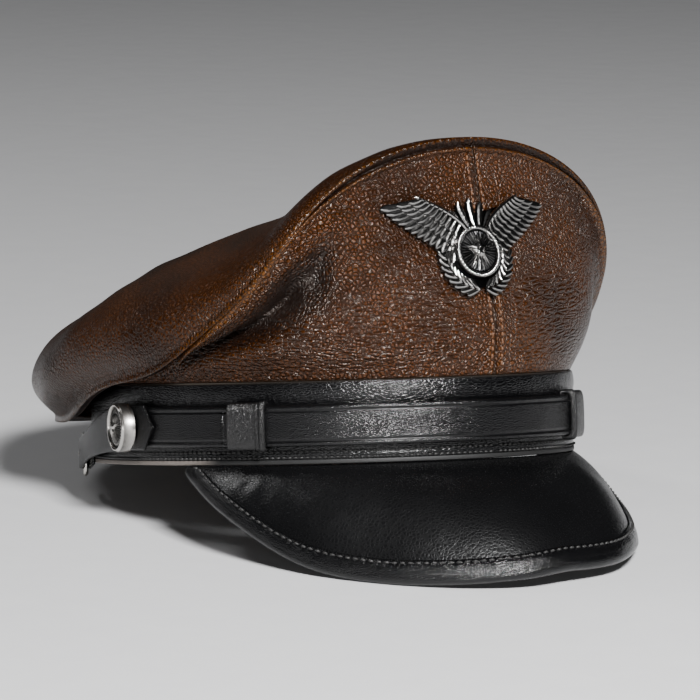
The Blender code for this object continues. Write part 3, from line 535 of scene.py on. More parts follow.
def fold_depth(angle, share, folds):
    """Depth of the folds: a trough with a bell section along each straight run."""
    depth = np.zeros(np.broadcast(angle, share).shape)
    for side, angle_a, share_a, angle_b, share_b, deep, wide in folds:
        start = np.array([angle_a / 60, share_a])
        run = np.array([angle_b / 60, share_b]) - start
        at = np.stack(np.broadcast_arrays(side * np.degrees(angle) / 60, share), -1) - start
        along = np.clip(at @ run / (run @ run), 0, 1)
        away = np.linalg.norm(at - along[..., None] * run, axis=-1)
        depth += deep * CROWN_RISE * (1 - 0.7 * np.abs(2 * along - 1)**3) * bell(away, 1.6 * wide)
    return depth


def seam_roll(distance):
    """Height of the raised roll beside a seam, by the distance from the seam."""
    return 0.85 * SEAM_ROLL * bell(distance - 0.62 * SEAM_ROLL, 0.42 * SEAM_ROLL)


def skived(reach):
    """Thickness of the leather, pared down towards the seam that it is sewn in."""
    return LEATHER * (0.16 + 0.84 * np.clip(reach / SEAM_ROLL - 0.4, 0, 2.4) / 2.4)


def from_rim(surface, angle, close, count, rim_share):
    """Shares along each section: close steps of a set length from the rim, then even ones."""
    sample = np.linspace(0, 1, 24)
    path = surface(angle[:, None], sample[None] + 0 * angle[:, None])
    length = np.linalg.norm(np.diff(path, axis=1), axis=-1).sum(1)
    near = np.outer(1 / length, np.linspace(0, 3.0, close) * SEAM_ROLL)
    far = np.linspace(0, 1, count + 1)[1:]
    return np.abs(rim_share - np.concatenate([near, near[:, -1:] + (1 - near[:, -1:]) * far], 1))


def puckers(angle, reach, point, depth, spread):
    """Small pleats square to the rim seam, where the thread gathers the leather: the marks
    beat, the number of radians of them so far along the rim, and pleat, their depth."""
    beat = 2 * math.pi * angle * 0.105 / 0.0017 + 2.6 * waver(point, 0.011, 5)
    strong = 0.6 + 0.4 * waver(point, 0.02, 6)
    return {"beat": beat, "pleat": depth * strong * bell(reach - SEAM_ROLL, spread)}


def joined_edges(across):
    """A seam in the wall: a narrow groove with a low rounded ridge on either side."""
    return 0.0005 * bell(across - TOPSTITCH_IN, 0.0017) - 0.0006 * bell(across, 0.00045)


WARM_SHEEN = (1.0, 0.93, 0.86, 1.0)
# Its first colour is a dark mottle and painted shade, its third wear and a painted highlight, and crease sets
# the painted shade between the pebbles.
brown = leather("brown_pebble_leather", (0.005, 0.0012, 0.0002), (0.048, 0.0135, 0.0011),
                (0.165, 0.060, 0.006), pebble=0.0016, grain=0.00066, shine=0.20,
                crease=0.80, drawn=0.8, ior=1.45, sheen=WARM_SHEEN)
brown_thread = thread_finish("brown_thread", (0.05, 0.018, 0.007), (0.16, 0.07, 0.03))


def surface_normals(grid, wrap=False):
    """Unit normals of a grid of points, the cross product of its steps both ways."""
    padded = np.concatenate([grid[-1:], grid, grid[:1]]) if wrap else grid
    along = np.gradient(padded, axis=0)
    along = along[1:-1] if wrap else along
    normal = np.cross(along, np.gradient(grid, axis=1))
    return normal / np.maximum(np.linalg.norm(normal, axis=-1, keepdims=True), 1e-12)


def quarter_skin(angle, up):
    """The finished outside of a quarter, and its marks: folds, seams, puckers, slack, painted shade and
    painted highlight.
    """
    side = np.sign(angle[0, 0])
    skin = quarter_surface(angle, up)
    normal = surface_normals(skin) * side
    reach = np.linalg.norm(skin - crown_frame(angle)[0], axis=-1)
    across = np.abs(skin[..., 0])
    held = np.sin(math.pi * np.clip(up, 0, 1))
    sharp_held = ease(up / 0.2) * ease((1 - up) / 0.07)
    fold = fold_depth(angle, up, FOLDS) * held + fold_depth(angle, up, CREASES) * sharp_held
    slack = 0.0010 * waver(skin, 0.026, 1) + 0.0004 * waver(skin, 0.010, 2)
    lift = seam_roll(reach) - fold + slack * held * ease(across / 0.02) + joined_edges(across)
    skin = skin + normal * lift[..., None]
    turned = np.degrees(np.abs(angle))
    marks = puckers(angle, reach, skin, 0.12, 0.0040)
    # Painted highlight, with some wear, lightens the crests of the rim rolls and the ridges beside the front
    # seam; painted shade darkens the rim seam, the front seam's groove and the folds.
    marks["worn"] = 0.7 * bell(reach - 0.62 * SEAM_ROLL, 0.0012) + 0.25 * bell(across - TOPSTITCH_IN, 0.002)
    marks["deep"] = 0.9 * bell(reach, 0.0009) + 0.4 * bell(across, 0.0005) + np.clip(fold / 0.010, 0, 0.9)
    marks["slack"] = bell(up - 0.27, 0.24) * ease(turned / 12) * (1 - ease((turned - 60) / 25))
    marks["taut"] = (side > 0) * ease((turned - 18) / 10) * bell(up - 0.65, 0.35)
    return skin, normal, reach, marks


# Each quarter runs from the front seam to the back seam. Its loops go up the outside, down
# the flesh side and round the tucked hem.
for side, name in ((-1, "right"), (1, "left")):
    angle = side * np.radians(np.linspace(SEAM_GAP, 180 - SEAM_GAP, 420))
    up = from_rim(quarter_surface, angle, 20, 76, 1.0)[:, ::-1]
    angles = angle[:, None] + 0 * up
    skin, normal, reach, marks = quarter_skin(angles, up)
    lining = skin - normal * skived(reach)[..., None]
    lining[:, 0] = on_band(angle, BAND_HEIGHT + GAP + LEATHER, -BAND_WALL)
    inside = list(range(0, up.shape[1], 4)) + [up.shape[1] - 1]
    hem = np.stack([on_band(angle, BAND_HEIGHT - HEM, -BAND_WALL - GAP),
                    on_band(angle, BAND_HEIGHT + GAP, -BAND_WALL - GAP)], 1)
    back = hem - crown_frame(angle)[1][:, None] * LEATHER
    loops = np.concatenate([hem, skin, lining[:, inside][:, ::-1], back[:, ::-1]], 1)
    unseen = ((0, 0), (hem.shape[1], len(inside) + back.shape[1]))
    marks = {key: np.pad(value, unseen) for key, value in marks.items()}
    bare = ease(reach[:, inside][:, ::-1] / FLESH_FROM - 1)
    tucked = np.ones_like(hem[..., 0])
    wall = swept(loops, flesh=np.concatenate([tucked, 0 * up, bare, tucked], 1), **marks)
    make_piece(f"crown_wall_{name}", [wall], brown, [f"crown_quarter_{name}"])

# The topstitching stands beside each seam, on both its sides. The angle that is 0.02 from
# the seam is scaled, so that the row stays the same distance off all the way up.
BESIDE = 0.02
rows = []
up = np.linspace(0.03, 0.955, 200)
for side, seam in ((-1, 0.0), (1, 0.0), (-1, math.pi), (1, math.pi)):
    near = side * np.abs(seam - BESIDE)
    away = np.abs(quarter_surface(near + 0 * up, up)[:, 0])
    beside = side * np.abs(seam - BESIDE * 0.0023 / away)
    three = beside * np.array([0.98, 1.0, 1.02])[:, None]
    skin, normal, *_ = quarter_skin(three, up + np.zeros((3, 1)))
    rows.append(stitches(skin[1], normal[1], 0.0027, 0.7, 0.0005))
make_piece("crown_topstitching", rows, brown_thread)


# Top panel. One oval of the same leather, bigger than the head, sewn to the wall edge to
# edge all round the rim and turned out, so that both allowances stand as raised rolls.
# It bellies over the seam and has slumped towards the back.
TOP_MIDDLE = np.array([0.0, -0.0035, TOP_RISE])


def top_surface(angle, share):
    """The top panel: a cubic curve from the rim seam (share 0) to its middle (share 1)."""
    rim, outward, pulls = crown_frame(angle)
    spoke = (rim - TOP_MIDDLE) * (1.0, 1.0, 0.0)
    near = rim + outward * pulls[4] + UP * pulls[5]
    far = TOP_MIDDLE + 0.48 * spoke - UP * 0.32 * 0.48 * spoke[..., 1:2]
    return bezier(rim, near, far, np.broadcast_to(TOP_MIDDLE, rim.shape), share)


# Loops run from the rim to a tiny ring round the middle and back along the flesh side.
angle = np.linspace(-math.pi, math.pi, 800, endpoint=False)
out = from_rim(top_surface, angle, 20, 62, 0.0)
out[:, -1] = 0.9995
angles = angle[:, None] + 0 * out
skin = top_surface(angles, out)
normal = surface_normals(skin, True)
normal = normal * np.sign(normal[:, 50:51, 2:3])
normal[:, -6:] = UP
reach = np.linalg.norm(skin - crown_frame(angles)[0], axis=-1)
inner = ease(reach / 0.018)
slant = np.array([[0.77, 0.64, 0.0], [-0.64, 0.77, 0.0], [0.3, 0.2, 0.93]])
slanted = skin @ slant * (1.0, 0.5, 1.0)
crumple = 0.0006 * waver(slanted, 0.013, 3) + 0.0011 * waver(slanted, 0.030, 4)
lift = seam_roll(reach) + crumple * inner
skin = skin + normal * lift[..., None]
inside = list(range(0, out.shape[1], 4)) + [out.shape[1] - 1]
lining = (skin - normal * skived(reach)[..., None])[:, inside]
loops = np.concatenate([skin, lining[:, ::-1]], 1)
marks = puckers(angles, reach, skin, 0.55, 0.0030)
# Painted highlight, with some wear, lightens the roll's crest, and painted shade darkens the rim seam.
marks["worn"] = 0.6 * bell(reach - 0.6 * SEAM_ROLL, 0.0012)
marks["deep"] = 0.9 * bell(reach, 0.0011)
marks["dull"] = ease((reach - 0.012) / 0.03)
marks = {key: np.pad(value, ((0, 0), (0, lining.shape[1]))) for key, value in marks.items()}
flesh = np.concatenate([0 * out, ease(reach[:, inside][:, ::-1] / FLESH_FROM - 1)], 1)
# The top panel's colours are the wall's made darker: painted shade over the whole panel. Its grain depth,
# polish and gloss differ too.
top_brown_shaded = leather("brown_top_leather", (0.004, 0.0010, 0.0002), (0.040, 0.0112, 0.0009),
                    (0.150, 0.055, 0.006), pebble=0.0016, grain=0.00040, shine=0.18,
                    crease=0.80, drawn=0.8, ior=1.36, sheen=WARM_SHEEN)
panel = swept(loops, True, flesh=flesh, **marks)
make_piece("crown_top_panel", [panel], top_brown_shaded, ["crown_top"])


# Badge. A cast plate in two spread wings with a round medallion and laurel below it,
# plated dark and polished, bent to the crown and held by pins through the leather.
BADGE_WIDTH = 0.070
BADGE_HEIGHT = 0.044
BADGE_MIDDLE = (-0.006, 0.0785)
BADGE_LIFT = GAP + 0.0006
SEAT_STEP = 0.002
MEDALLION_FIELD = 0.0030


def crown_front(across, height):
    """The point of the crown's wall at a place across the front and a height: Newton's
    steps on its angle and share until the miss in both is nothing."""
    angle = across / (BAND_WIDTH * 0.9)
    share = (height - BAND_HEIGHT) / CROWN_RISE
    step = 1e-4
    for _ in range(12):
        here = quarter_surface(angle, share)
        by_angle = (quarter_surface(angle + step, share) - here) / step
        by_share = (quarter_surface(angle, share + step) - here) / step
        miss_x, miss_z = across - here[..., 0], height - here[..., 2]
        det = by_angle[..., 0] * by_share[..., 2] - by_share[..., 0] * by_angle[..., 2]
        angle = angle + (miss_x * by_share[..., 2] - miss_z * by_share[..., 0]) / det
        share = share + (miss_z * by_angle[..., 0] - miss_x * by_angle[..., 2]) / det
    here = quarter_surface(angle, share)
    normal = np.cross(quarter_surface(angle + step, share) - here,
                      quarter_surface(angle, share + step) - here)
    return here, normal / np.linalg.norm(normal, axis=-1, keepdims=True)


badge_across = np.arange(-19, 20) * SEAT_STEP
badge_up = np.arange(-13, 14) * SEAT_STEP
badge_seat, badge_out = crown_front(*np.meshgrid(badge_across + BADGE_MIDDLE[0],
                                                 badge_up + BADGE_MIDDLE[1], indexing="ij"))


def on_badge(flat):
    """Flat badge drawings bent to the crown: across, up and out from its seat, which is
    read between the four nearest points of its grid."""
    i = np.clip((flat[..., 0] - badge_across[0]) / SEAT_STEP, 0, len(badge_across) - 1.001)
    j = np.clip((flat[..., 1] - badge_up[0]) / SEAT_STEP, 0, len(badge_up) - 1.001)
    i0, j0 = i.astype(int), j.astype(int)
    u, v = (i - i0)[..., None], (j - j0)[..., None]

    def read(grid):
        return ((grid[i0, j0] * (1 - v) + grid[i0, j0 + 1] * v) * (1 - u)
                + (grid[i0 + 1, j0] * (1 - v) + grid[i0 + 1, j0 + 1] * v) * u)
    return read(badge_seat) + read(badge_out) * (flat[..., 2:] + BADGE_LIFT)


def plume(root, angle, length, width, base, thick, bend=0.0):
    """A feather or leaf lying flat: a lens in plan with a raised quill and a sunk back.

    Its half width is width / 2 times (1 - (2t - 1)^4)^0.6, fuller towards the tip, and
    its top rises to thick along the quill and falls in ribs to both edges.
    """
    along = np.linspace(0, 1, 13)[:, None]
    half = width / 2 * (1 - (2 * np.clip(along, 0.03, 0.985) - 1)**4)**0.6 * (0.55 + 0.45 * along)
    across = np.concatenate([np.linspace(-1, 1, 9), np.linspace(1, -1, 3)])[None]
    top = np.concatenate([np.ones(9), np.zeros(3)])[None]
    ribs = 0.1 * np.sin(along * 34 + 5 * np.abs(across))
    ridge = thick * ((1 - np.abs(across))**0.6 * 0.75 + 0.25 + ribs)
    turn = angle + bend * along
    x = root[0] + length * along * np.cos(turn) - half * across * np.sin(turn)
    y = root[1] + length * along * np.sin(turn) + half * across * np.cos(turn)
    height = base + np.where(top > 0, ridge, 0.0) + 0.0006 * (1 - along)
    flat = np.stack(np.broadcast_arrays(x, y, height), -1)
    return flat, top * np.clip(1.3 * (1 - np.abs(across)), 0, 1)


# Three rows of feathers to each wing: how many, how far out, their length at the root and
# at the tip, their width and their height over the plate, in millimetres.
FEATHER_ROWS = (
    (13, 1.00, 13.0, 14.5, 3.9, 0.7),
    (12, 0.94, 9.5, 9.5, 3.3, 1.5),
    (11, 0.90, 5.5, 5.5, 2.7, 2.3),
)
CREST_LEAVES = ((-0.62, 0.0085), (0.62, 0.0085), (-0.3, 0.0105), (0.3, 0.0105), (0.0, 0.0115))

# Wings of three rows, laurel in pairs of leaves round the medallion, and the crest.
solids = []
for side in (-1, 1):
    for count, out_reach, long_a, long_b, wide, base in FEATHER_ROWS:
        for k in np.linspace(0.06, 1, count):
            root = np.array([4.0 + 18.5 * k * out_reach, 3.0 + 14.2 * k**0.55])
            turn = math.radians(-80 + 56 * k**1.3)
            flat, rub = plume(root * 1e-3, turn, (long_a + (long_b - long_a) * k) * 1e-3,
                              wide * 1e-3, base * 1e-3, 0.0009, 0.22)
            solids.append((flat * (side, 1, 1), rub))
    for k in np.linspace(0, 1, 8):
        turn = math.radians(-84 + 74 * k)
        stem = np.array([14.2 * math.cos(turn), 13.6 * math.sin(turn) - 3.0]) * 1e-3
        for lean in (0.75, -0.45):
            flat, rub = plume(stem, turn + math.pi / 2 + lean, 0.0056 - 0.0014 * k,
                              0.0024, 0.0012, 0.0008)
            solids.append((flat * (side, 1, 1), rub))
for lean, long in CREST_LEAVES:
    root = (7.5e-3 * math.sin(-lean), 0.0060)
    solids.append(plume(root, math.pi / 2 + lean, long, 0.0034, 0.0014, 0.0010))
pieces = [swept(on_badge(flat), rub=rub) for flat, rub in solids]

# A tapering wire along each wing's leading edge.
arm = np.linspace(0.02, 1.04, 40)
spine = np.stack([4.0 + 18.5 * arm, 3.6 + 14.4 * arm**0.55, 3.1 - 0.9 * arm], -1) * 1e-3
thick = (0.0013 - 0.0006 * arm) * np.clip(1.06 - arm, 0.02, 0.1) ** 0.5 / 0.1 ** 0.5
turn = np.linspace(0, 2 * math.pi, 10, endpoint=False)
tube = spine[:, None] + thick[:, None, None] * np.stack([0 * turn, np.cos(turn), np.sin(turn)], -1)
pieces += [swept(on_badge(tube * (side, 1, 1)), rub=0.9) for side in (-1, 1)]
# Half of the plate's outline, over the top to the wing's tip and back underneath, as
# shares of the badge's half width and of its height.
PLATE_EDGE = np.array([
    (0.0, 0.28), (0.12, 0.28), (0.30, 0.31), (0.60, 0.37), (0.80, 0.31), (0.88, 0.27), (0.76, 0.20),
    (0.62, 0.10), (0.50, 0.0), (0.38, -0.08), (0.30, -0.16), (0.24, -0.26), (0.12, -0.34), (0.0, -0.36),
])
edge = PLATE_EDGE * (BADGE_WIDTH / 2, BADGE_HEIGHT)
stations = np.linspace(-0.985, 0.985, 60) * 0.93 * BADGE_WIDTH / 2
high = np.interp(np.abs(stations), edge[:6, 0], edge[:6, 1])
low = np.interp(np.abs(stations), edge[:4:-1, 0], edge[:4:-1, 1])
height = low[:, None] + (high - low)[:, None] * np.linspace(0, 1, 14)
flat = np.stack([stations[:, None] + 0 * height, height, 0 * height], -1)
plate = np.concatenate([flat + (0, 0, 0.0010), flat[:, ::-1]], 1)
pieces.append(swept(on_badge(plate), rub=0.0))


def disc(radius, height, sides, middle=0.0):
    """Rings of a flat round relief, its height worked out from radius and turn, with a
    flat back that closes on the same small radius as its front."""
    turn = np.linspace(0, 2 * math.pi, sides, endpoint=False)
    r = np.append(radius, [radius[-1], radius[0]])[:, None]
    z = np.concatenate([height(radius[:, None], turn), np.zeros((2, sides))])
    return np.stack(np.broadcast_arrays(r * np.cos(turn), middle + r * np.sin(turn), z), -1)


def star(r, turn, outer, inner, points=5):
    """Distance inside a star's edge: each half point is a straight line from tip to notch."""
    wedge = math.pi / points
    fold = np.abs((turn + wedge - math.pi / 2) % (2 * wedge) - wedge)
    x, y = r * np.cos(fold), r * np.sin(fold)
    tip, notch = np.array([outer, 0.0]), inner * np.array([math.cos(wedge), math.sin(wedge)])
    line = notch - tip
    normal = np.array([line[1], -line[0]]) / np.linalg.norm(line)
    return -((x - tip[0]) * normal[0] + (y - tip[1]) * normal[1])


def medallion(r, turn):
    """Rope rim, a half round cut by slanting strands, sunk rayed field and a raised star."""
    strands = 0.85 + 0.15 * np.sin(turn * 46 + r * 2500)
    rope = 0.0011 * np.sqrt(np.clip(1 - ((r - 0.0088) / 0.00095)**2, 0, 1)) * strands
    rays = 0.00022 * np.sin(turn * 40) * ease((r - 0.001) / 0.002) * ease((0.0078 - r) / 0.001)
    raised = 0.0013 * np.clip(star(r, turn, 0.0070, 0.0027) / 0.0016, 0, 1)
    return MEDALLION_FIELD + rope + rays + raised


radius = np.concatenate([[1e-5], np.linspace(0.0004, 0.0095, 56), [0.0097]])
coin = disc(radius, medallion, 180, -0.0025)
lit = np.clip((coin[..., 2] - MEDALLION_FIELD) / 0.0009, 0, 1)
pieces.append(swept(on_badge(coin), rub=lit))
chrome = Finish("dark_chrome", metallic=1.0)
wear = chrome.noise(chrome.place(), 700.0)
rub = (chrome.mark("rub") * 0.9 + (wear - 0.5) * 0.5).held()
dark_chrome = chrome.link(base_color=chrome.mix(rub, (0.012, 0.012, 0.013), (0.36, 0.35, 0.34)),
                          roughness=0.30 - rub * 0.18, normal=chrome.bump(wear, 0.00004))
make_piece("cap_badge", pieces, dark_chrome, ["badge"], sharp=50)


# Peak. A stiff leaf of black leather is sewn under the band and curves down in front.
# A strip of the same leather is folded round its edge and stitched through.
PEAK_REACH = 0.0443
PEAK_DROP = 0.0448
PEAK_FLARE = 0.0046
PEAK_CORNER = 78.8
PEAK_WALL = 0.0026
PEAK_END = 0.975
BINDING_DEPTH = 0.0090
BINDING_WALL = 0.0010
NOSE = PEAK_WALL / 2 + GAP + BINDING_WALL

# Half of the outline, from the middle to the corner, as shares of spread, reach and drop.
# raised is how much higher the wearer's left side stands, because the peak has set askew.
PEAK_OUTLINE = np.array([
    # side, front, drop, raised
    (0.000, 1.000, 0.915, 0.00),
    (0.240, 0.977, 0.967, 0.08),
    (0.470, 0.851, 1.000, 0.18),
    (0.678, 0.664, 0.971, 0.22),
    (0.842, 0.468, 0.804, 0.20),
    (0.956, 0.234, 0.391, 0.11),
    (0.932, 0.000, 0.000, 0.00),
])


def catmull(rows, share):
    """A smooth curve through the rows of a table, mirrored at its first row."""
    knots = np.concatenate([[rows[1] * (-1.0, 1.0, 1.0, 1.0)], rows, [2 * rows[-1] - rows[-2]]])
    at = np.clip(share, 0, 1) * (len(rows) - 1)
    index = np.minimum(at.astype(int), len(rows) - 2)
    t = (at - index)[..., None]
    a, b, c, d = (knots[index + k] for k in range(4))
    return 0.5 * (2 * b + (c - a) * t + (2 * a - 5 * b + 4 * c - d) * t**2
                  + (3 * b - a - 3 * c + d) * t**3)


def peak_rim(share):
    """The peak's outer edge: share -1 at the right corner, 0 in front, 1 at the left."""
    corner = oval(np.array(math.radians(PEAK_CORNER)))
    spread = BAND_WIDTH / 2 + PEAK_FLARE
    row = catmull(PEAK_OUTLINE, np.abs(share))
    side = row[..., 0] * spread + (corner[0] - PEAK_OUTLINE[-1][0] * spread) * np.abs(share)**8
    drop = row[..., 2] - np.where(share > 0, row[..., 3], 0.0)
    drop = NOSE + GAP + drop * (PEAK_DROP - NOSE - GAP)
    front = corner[1] - row[..., 1] * (BAND_LENGTH / 2 + PEAK_REACH + corner[1])
    return np.stack([np.sign(share) * side, front, -drop], -1)


def peak_surface(share, out):
    """The middle of the peak's wall: straight from its seam (out 0) to its edge (out 1),
    then bowed upwards by 0.36 of its width times out (1 - out)."""
    seam = on_band(share * math.radians(PEAK_CORNER), -GAP - PEAK_WALL / 2, -0.0012)
    ahead = peak_rim(share) - seam
    width = np.linalg.norm(ahead, axis=-1, keepdims=True)
    lift = UP - ahead * ahead[..., 2:3] / width**2
    lift = lift / np.linalg.norm(lift, axis=-1, keepdims=True)
    out = out[..., None]
    return seam + ahead * out + lift * 0.36 * width * out * (1 - out)


def peak_frame(share, away):
    """A point of the peak by its distance from the edge, with its normal and outward way."""
    width = np.linalg.norm(peak_rim(share) - peak_surface(share, 0 * share), axis=-1)
    out = 1 - np.minimum(away, 0.75 * width) / width
    step = 1e-3
    point = peak_surface(share, out)
    ahead = point - peak_surface(share, out - step)
    normal = np.cross(ahead, peak_surface(share + step, out) - peak_surface(share - step, out))
    normal = normal / np.linalg.norm(normal, axis=-1, keepdims=True)
    normal = normal * np.sign(normal[..., 2:3])
    return point, normal, ahead / np.linalg.norm(ahead, axis=-1, keepdims=True)


share = PEAK_END * np.sin(np.linspace(-1, 1, 300) * 1.35) / math.sin(1.35)
width = np.linalg.norm(peak_rim(share) - peak_surface(share, 0 * share), axis=-1)
out = np.linspace(0, 1, 70) * (1 - NOSE / width)[:, None]
point = peak_surface(share[:, None] + 0 * out, out)
normal = surface_normals(point)
normal = normal * np.sign(normal[..., 2:3])
corner = bell(share[:, None] + 0.72, 0.2) * (1 - out)
ripple = 0.0004 * waver(point, 0.02, 7) + corner * 0.0004 * waver(point * (0.5, 1.6, 1), 0.006, 8)
top = point + normal * (PEAK_WALL / 2 + ripple * np.sin(math.pi * np.clip(out, 0, 1)))[..., None]
under = point - normal * PEAK_WALL / 2
smooth_calf = leather("smooth_calf", INK_AND_SHADE, (0.0028, 0.0028, 0.0031), RUBBED_BLACK, pebble=0.0013,
                      grain=0.00005, shine=0.25, flesh=BLACK_FLESH, ior=1.43)
strap_leather = leather("strap_leather", INK_AND_SHADE, BLACK_DYE, (0.014, 0.013, 0.0125), pebble=0.0011,
                        grain=0.00010, shine=0.13, flesh=(0.05, 0.045, 0.04), stretch=(1, 1, 1.8), ior=1.42)
leaf = swept(np.concatenate([top, under[:, ::-1]], 1))
make_piece("peak_leaf", [leaf], smooth_calf, ["peak"])

# The binding's section in each place: its face with a soft swell and a sunk raw edge, the
# round nose, its underside, and back along its inside, which clears the leaf by a gap.
laps = np.linspace(BINDING_DEPTH, NOSE, 16)[:-1]
clear = PEAK_WALL / 2 + GAP
lap_points, lap_normals, _ = peak_frame(share[:, None], laps + 0 * share[:, None])
puff = (0.0004 * np.sin(math.pi * np.clip((laps - NOSE) / (BINDING_DEPTH - NOSE) / 0.8, 0, 1))
        - 0.0007 * bell(laps - BINDING_DEPTH, 0.0004))
puff = NOSE + puff + 0.00012 * waver(lap_points, 0.005, 9)
middle, normal, ahead = (item[:, None] for item in peak_frame(share, NOSE + 0 * share))
turns = np.linspace(0, math.pi, 13)[:, None]
inner = lap_normals * clear
hook = np.concatenate([
    lap_points + lap_normals * puff[..., None],
    middle + NOSE * (normal * np.cos(turns) + ahead * np.sin(turns)),
    (lap_points - lap_normals * NOSE)[:, ::-1],
    lap_points - inner,
    middle - normal * clear + ahead * 0.0004,
    middle + normal * clear + ahead * 0.0004,
    (lap_points + inner)[:, ::-1],
], 1)
make_piece("peak_edge_binding", [swept(hook)], strap_leather, ["peak_binding"])
dense = np.linspace(-0.95, 0.95, 900)
point, normal, _ = peak_frame(dense, BINDING_DEPTH - 0.0014 + 0 * dense)
rows = [stitches(point + normal * (NOSE + 0.0001), normal, 0.0030, 0.72, 0.0005),
        stitches(point - normal * NOSE, -normal, 0.0030, 0.72, 0.0005)]
make_piece("peak_stitching", rows, black_thread)


# Chin straps. Two black straps lie over each other across the front of the band, creased
# along both edges with a hot iron. Each runs from one side button to past the far keeper.
STRAP_WIDTH = 0.0153
STRAP_WALL = 0.0013
STRAP_LOW = 0.0065
STRAP_MIDDLE = STRAP_LOW + STRAP_WIDTH / 2
KEEPER_WALL = 0.0010
UNDER_STRAP = GAP + KEEPER_WALL + GAP
OVER_STRAP = UNDER_STRAP + STRAP_WALL + GAP
KEEPER_OUT = OVER_STRAP + STRAP_WALL + GAP
KEEPER_RIGHT = (-64.2, -55.6)
KEEPER_LEFT = (26.0, 34.6)
PAST_KEEPER = 1.5
BUTTON_ANGLE = 95.0
CREASE_IN = 0.0021
ARC = (BAND_LENGTH + BAND_WIDTH) / 4


def strap_loop(width):
    """A strap's section as height and out: a creased face, round edges and a flat back."""
    radius = STRAP_WALL / 2
    face = np.linspace(-1, 1, 45) * (width / 2 - radius)
    turn = np.linspace(math.pi / 2, -math.pi / 2, 7)[1:-1]
    crease = 0.00034 * bell(np.abs(face) - (width / 2 - CREASE_IN), 0.0004)
    heel = 0.00016 * bell(np.abs(face) - (width / 2 - CREASE_IN + 0.0009), 0.0004)
    edge = np.stack([width / 2 - radius + radius * np.cos(turn), radius * np.sin(turn)], -1)
    back = np.linspace(1, -1, 9) * (width / 2 - radius)
    return np.concatenate([np.stack([face, radius - crease + heel], -1), edge,
                           np.stack([back, 0 * back - radius], -1), edge[::-1] * (-1, 1)])


def ribbon(angles, outs, middles, width=STRAP_WIDTH, narrowing=1.0, seed=0):
    """A strap laid round the band: its section is carried along the path of its middle,
    square to that path, so it keeps its thickness round a bend. narrowing is the share of
    its full width that it has at each place."""
    angles = np.radians(angles)
    outs, middles, narrowing = (np.broadcast_to(item, angles.shape) for item in (outs, middles, narrowing))
    along = np.stack([np.gradient(angles) * ARC, np.gradient(outs)], -1)
    along = along / np.linalg.norm(along, axis=-1, keepdims=True)
    loop = strap_loop(width)
    height = middles[:, None] + loop[:, 0] * narrowing[:, None]
    turn = angles[:, None] - loop[:, 1] * along[:, 1:] / ARC
    path = on_band(turn, height, outs[:, None] + loop[:, 1] * along[:, :1])
    front = loop[:, 1] > 0
    supple = 0.00012 * waver(path, 0.009, seed) * front
    path = on_band(turn, height, outs[:, None] + (loop[:, 1] + supple) * along[:, :1])
    # Painted shade darkens the ironed creases along both edges, and the rounded edges are lighter, partly
    # wear and partly painted highlight.
    groove = bell(np.abs(loop[:, 0]) - (width / 2 - CREASE_IN), 0.0004) * front
    return swept(path, deep=groove, worn=1.2 * bell(loop[:, 1], 0.0004))


end = BUTTON_ANGLE + 5
angles = np.linspace(-end, KEEPER_LEFT[1] + PAST_KEEPER, 260)
under = ribbon(angles, UNDER_STRAP + STRAP_WALL / 2, STRAP_MIDDLE)
make_piece("chin_strap_lower_layer", [under], strap_leather, ["chin_strap_under"])
angles = np.linspace(KEEPER_RIGHT[0] - PAST_KEEPER, end, 320)
fall = ease((angles - KEEPER_LEFT[1] - 3) / 12) * (OVER_STRAP - UNDER_STRAP)
over = ribbon(angles, OVER_STRAP + STRAP_WALL / 2 - fall, STRAP_MIDDLE, seed=3)
make_piece("chin_strap_upper_layer", [over], strap_leather, ["chin_strap_over"])


# Keepers. Each is a strip of thin leather sewn into a sleeve round both straps, with one
# end turned back into a thick roll.
def squared(wave, power):
    """A sine or cosine with its humps filled out towards a square: its size to a power."""
    return np.sign(wave) * np.abs(wave)**power


def keeper(start, stop):
    """A sleeve: a rounded rectangle round both straps, swept along the band and back
    inside. The roll is at its start."""
    stations = np.radians(np.linspace(start, stop, 40))
    run = np.abs(stations - stations[0]) * ARC
    grow = (0.0010 * bell(run - 0.0011, 0.0009) + 0.00035 * bell(run - 0.0030, 0.0005)
            - 0.0003 * bell(run, 0.0004))
    turn = np.linspace(0, 2 * math.pi, 64, endpoint=False)
    box = squared(np.sin(turn), 0.34), squared(np.cos(turn), 0.42)
    rings = []
    for wall, swell in ((KEEPER_WALL, 1.0), (0.0, 0.0)):
        low, high = STRAP_LOW - GAP - wall, STRAP_LOW + STRAP_WIDTH + GAP + wall
        near, far = GAP + KEEPER_WALL - wall, KEEPER_OUT + wall
        height = (low + high) / 2 + box[0] * ((high - low) / 2 + swell * grow[:, None] * 0.6)
        out = (near + far) / 2 + box[1] * (far - near) / 2
        out = out + np.where(box[1] > -0.2, swell * grow[:, None], 0.0) * np.clip(1 + box[1], 0, 1)
        out = out + swell * 0.0003 * (1 - box[0]**2) * (box[1] > 0)
        rings.append(on_band(stations[:, None], height, out))
    outer, inner = rings
    return swept(np.concatenate([outer, inner[::-1]]), True)


keeper_leather = leather("keeper_leather", (0.003, 0.003, 0.0033), (0.006, 0.0058, 0.0058),
                         (0.02, 0.018, 0.017), pebble=0.0009, grain=0.00014, shine=0.20,
                         stretch=(2.4, 2.4, 0.22))
for name, ends in (("right", KEEPER_RIGHT[::-1]), ("left", KEEPER_LEFT)):
    make_piece(f"strap_keeper_{name}", [keeper(*ends)], keeper_leather, [f"keeper_{name}"])


# Side buttons. Cast and plated, each a domed face inside a plain bright rim, pinned
# through the straps and the band.
BUTTON_DIAMETER = 0.0186
BUTTON_FIELD = 0.0022
BUTTON_DOME = 0.0016
BUTTON_LEAN = 12.0


def button_dome(r):
    """The button's face without its relief: a paraboloid, flat beyond 0.78 of its radius."""
    share = r / (BUTTON_DIAMETER / 2)
    return BUTTON_FIELD + BUTTON_DOME * (1 - np.clip(share / 0.78, 0, 1)**2)


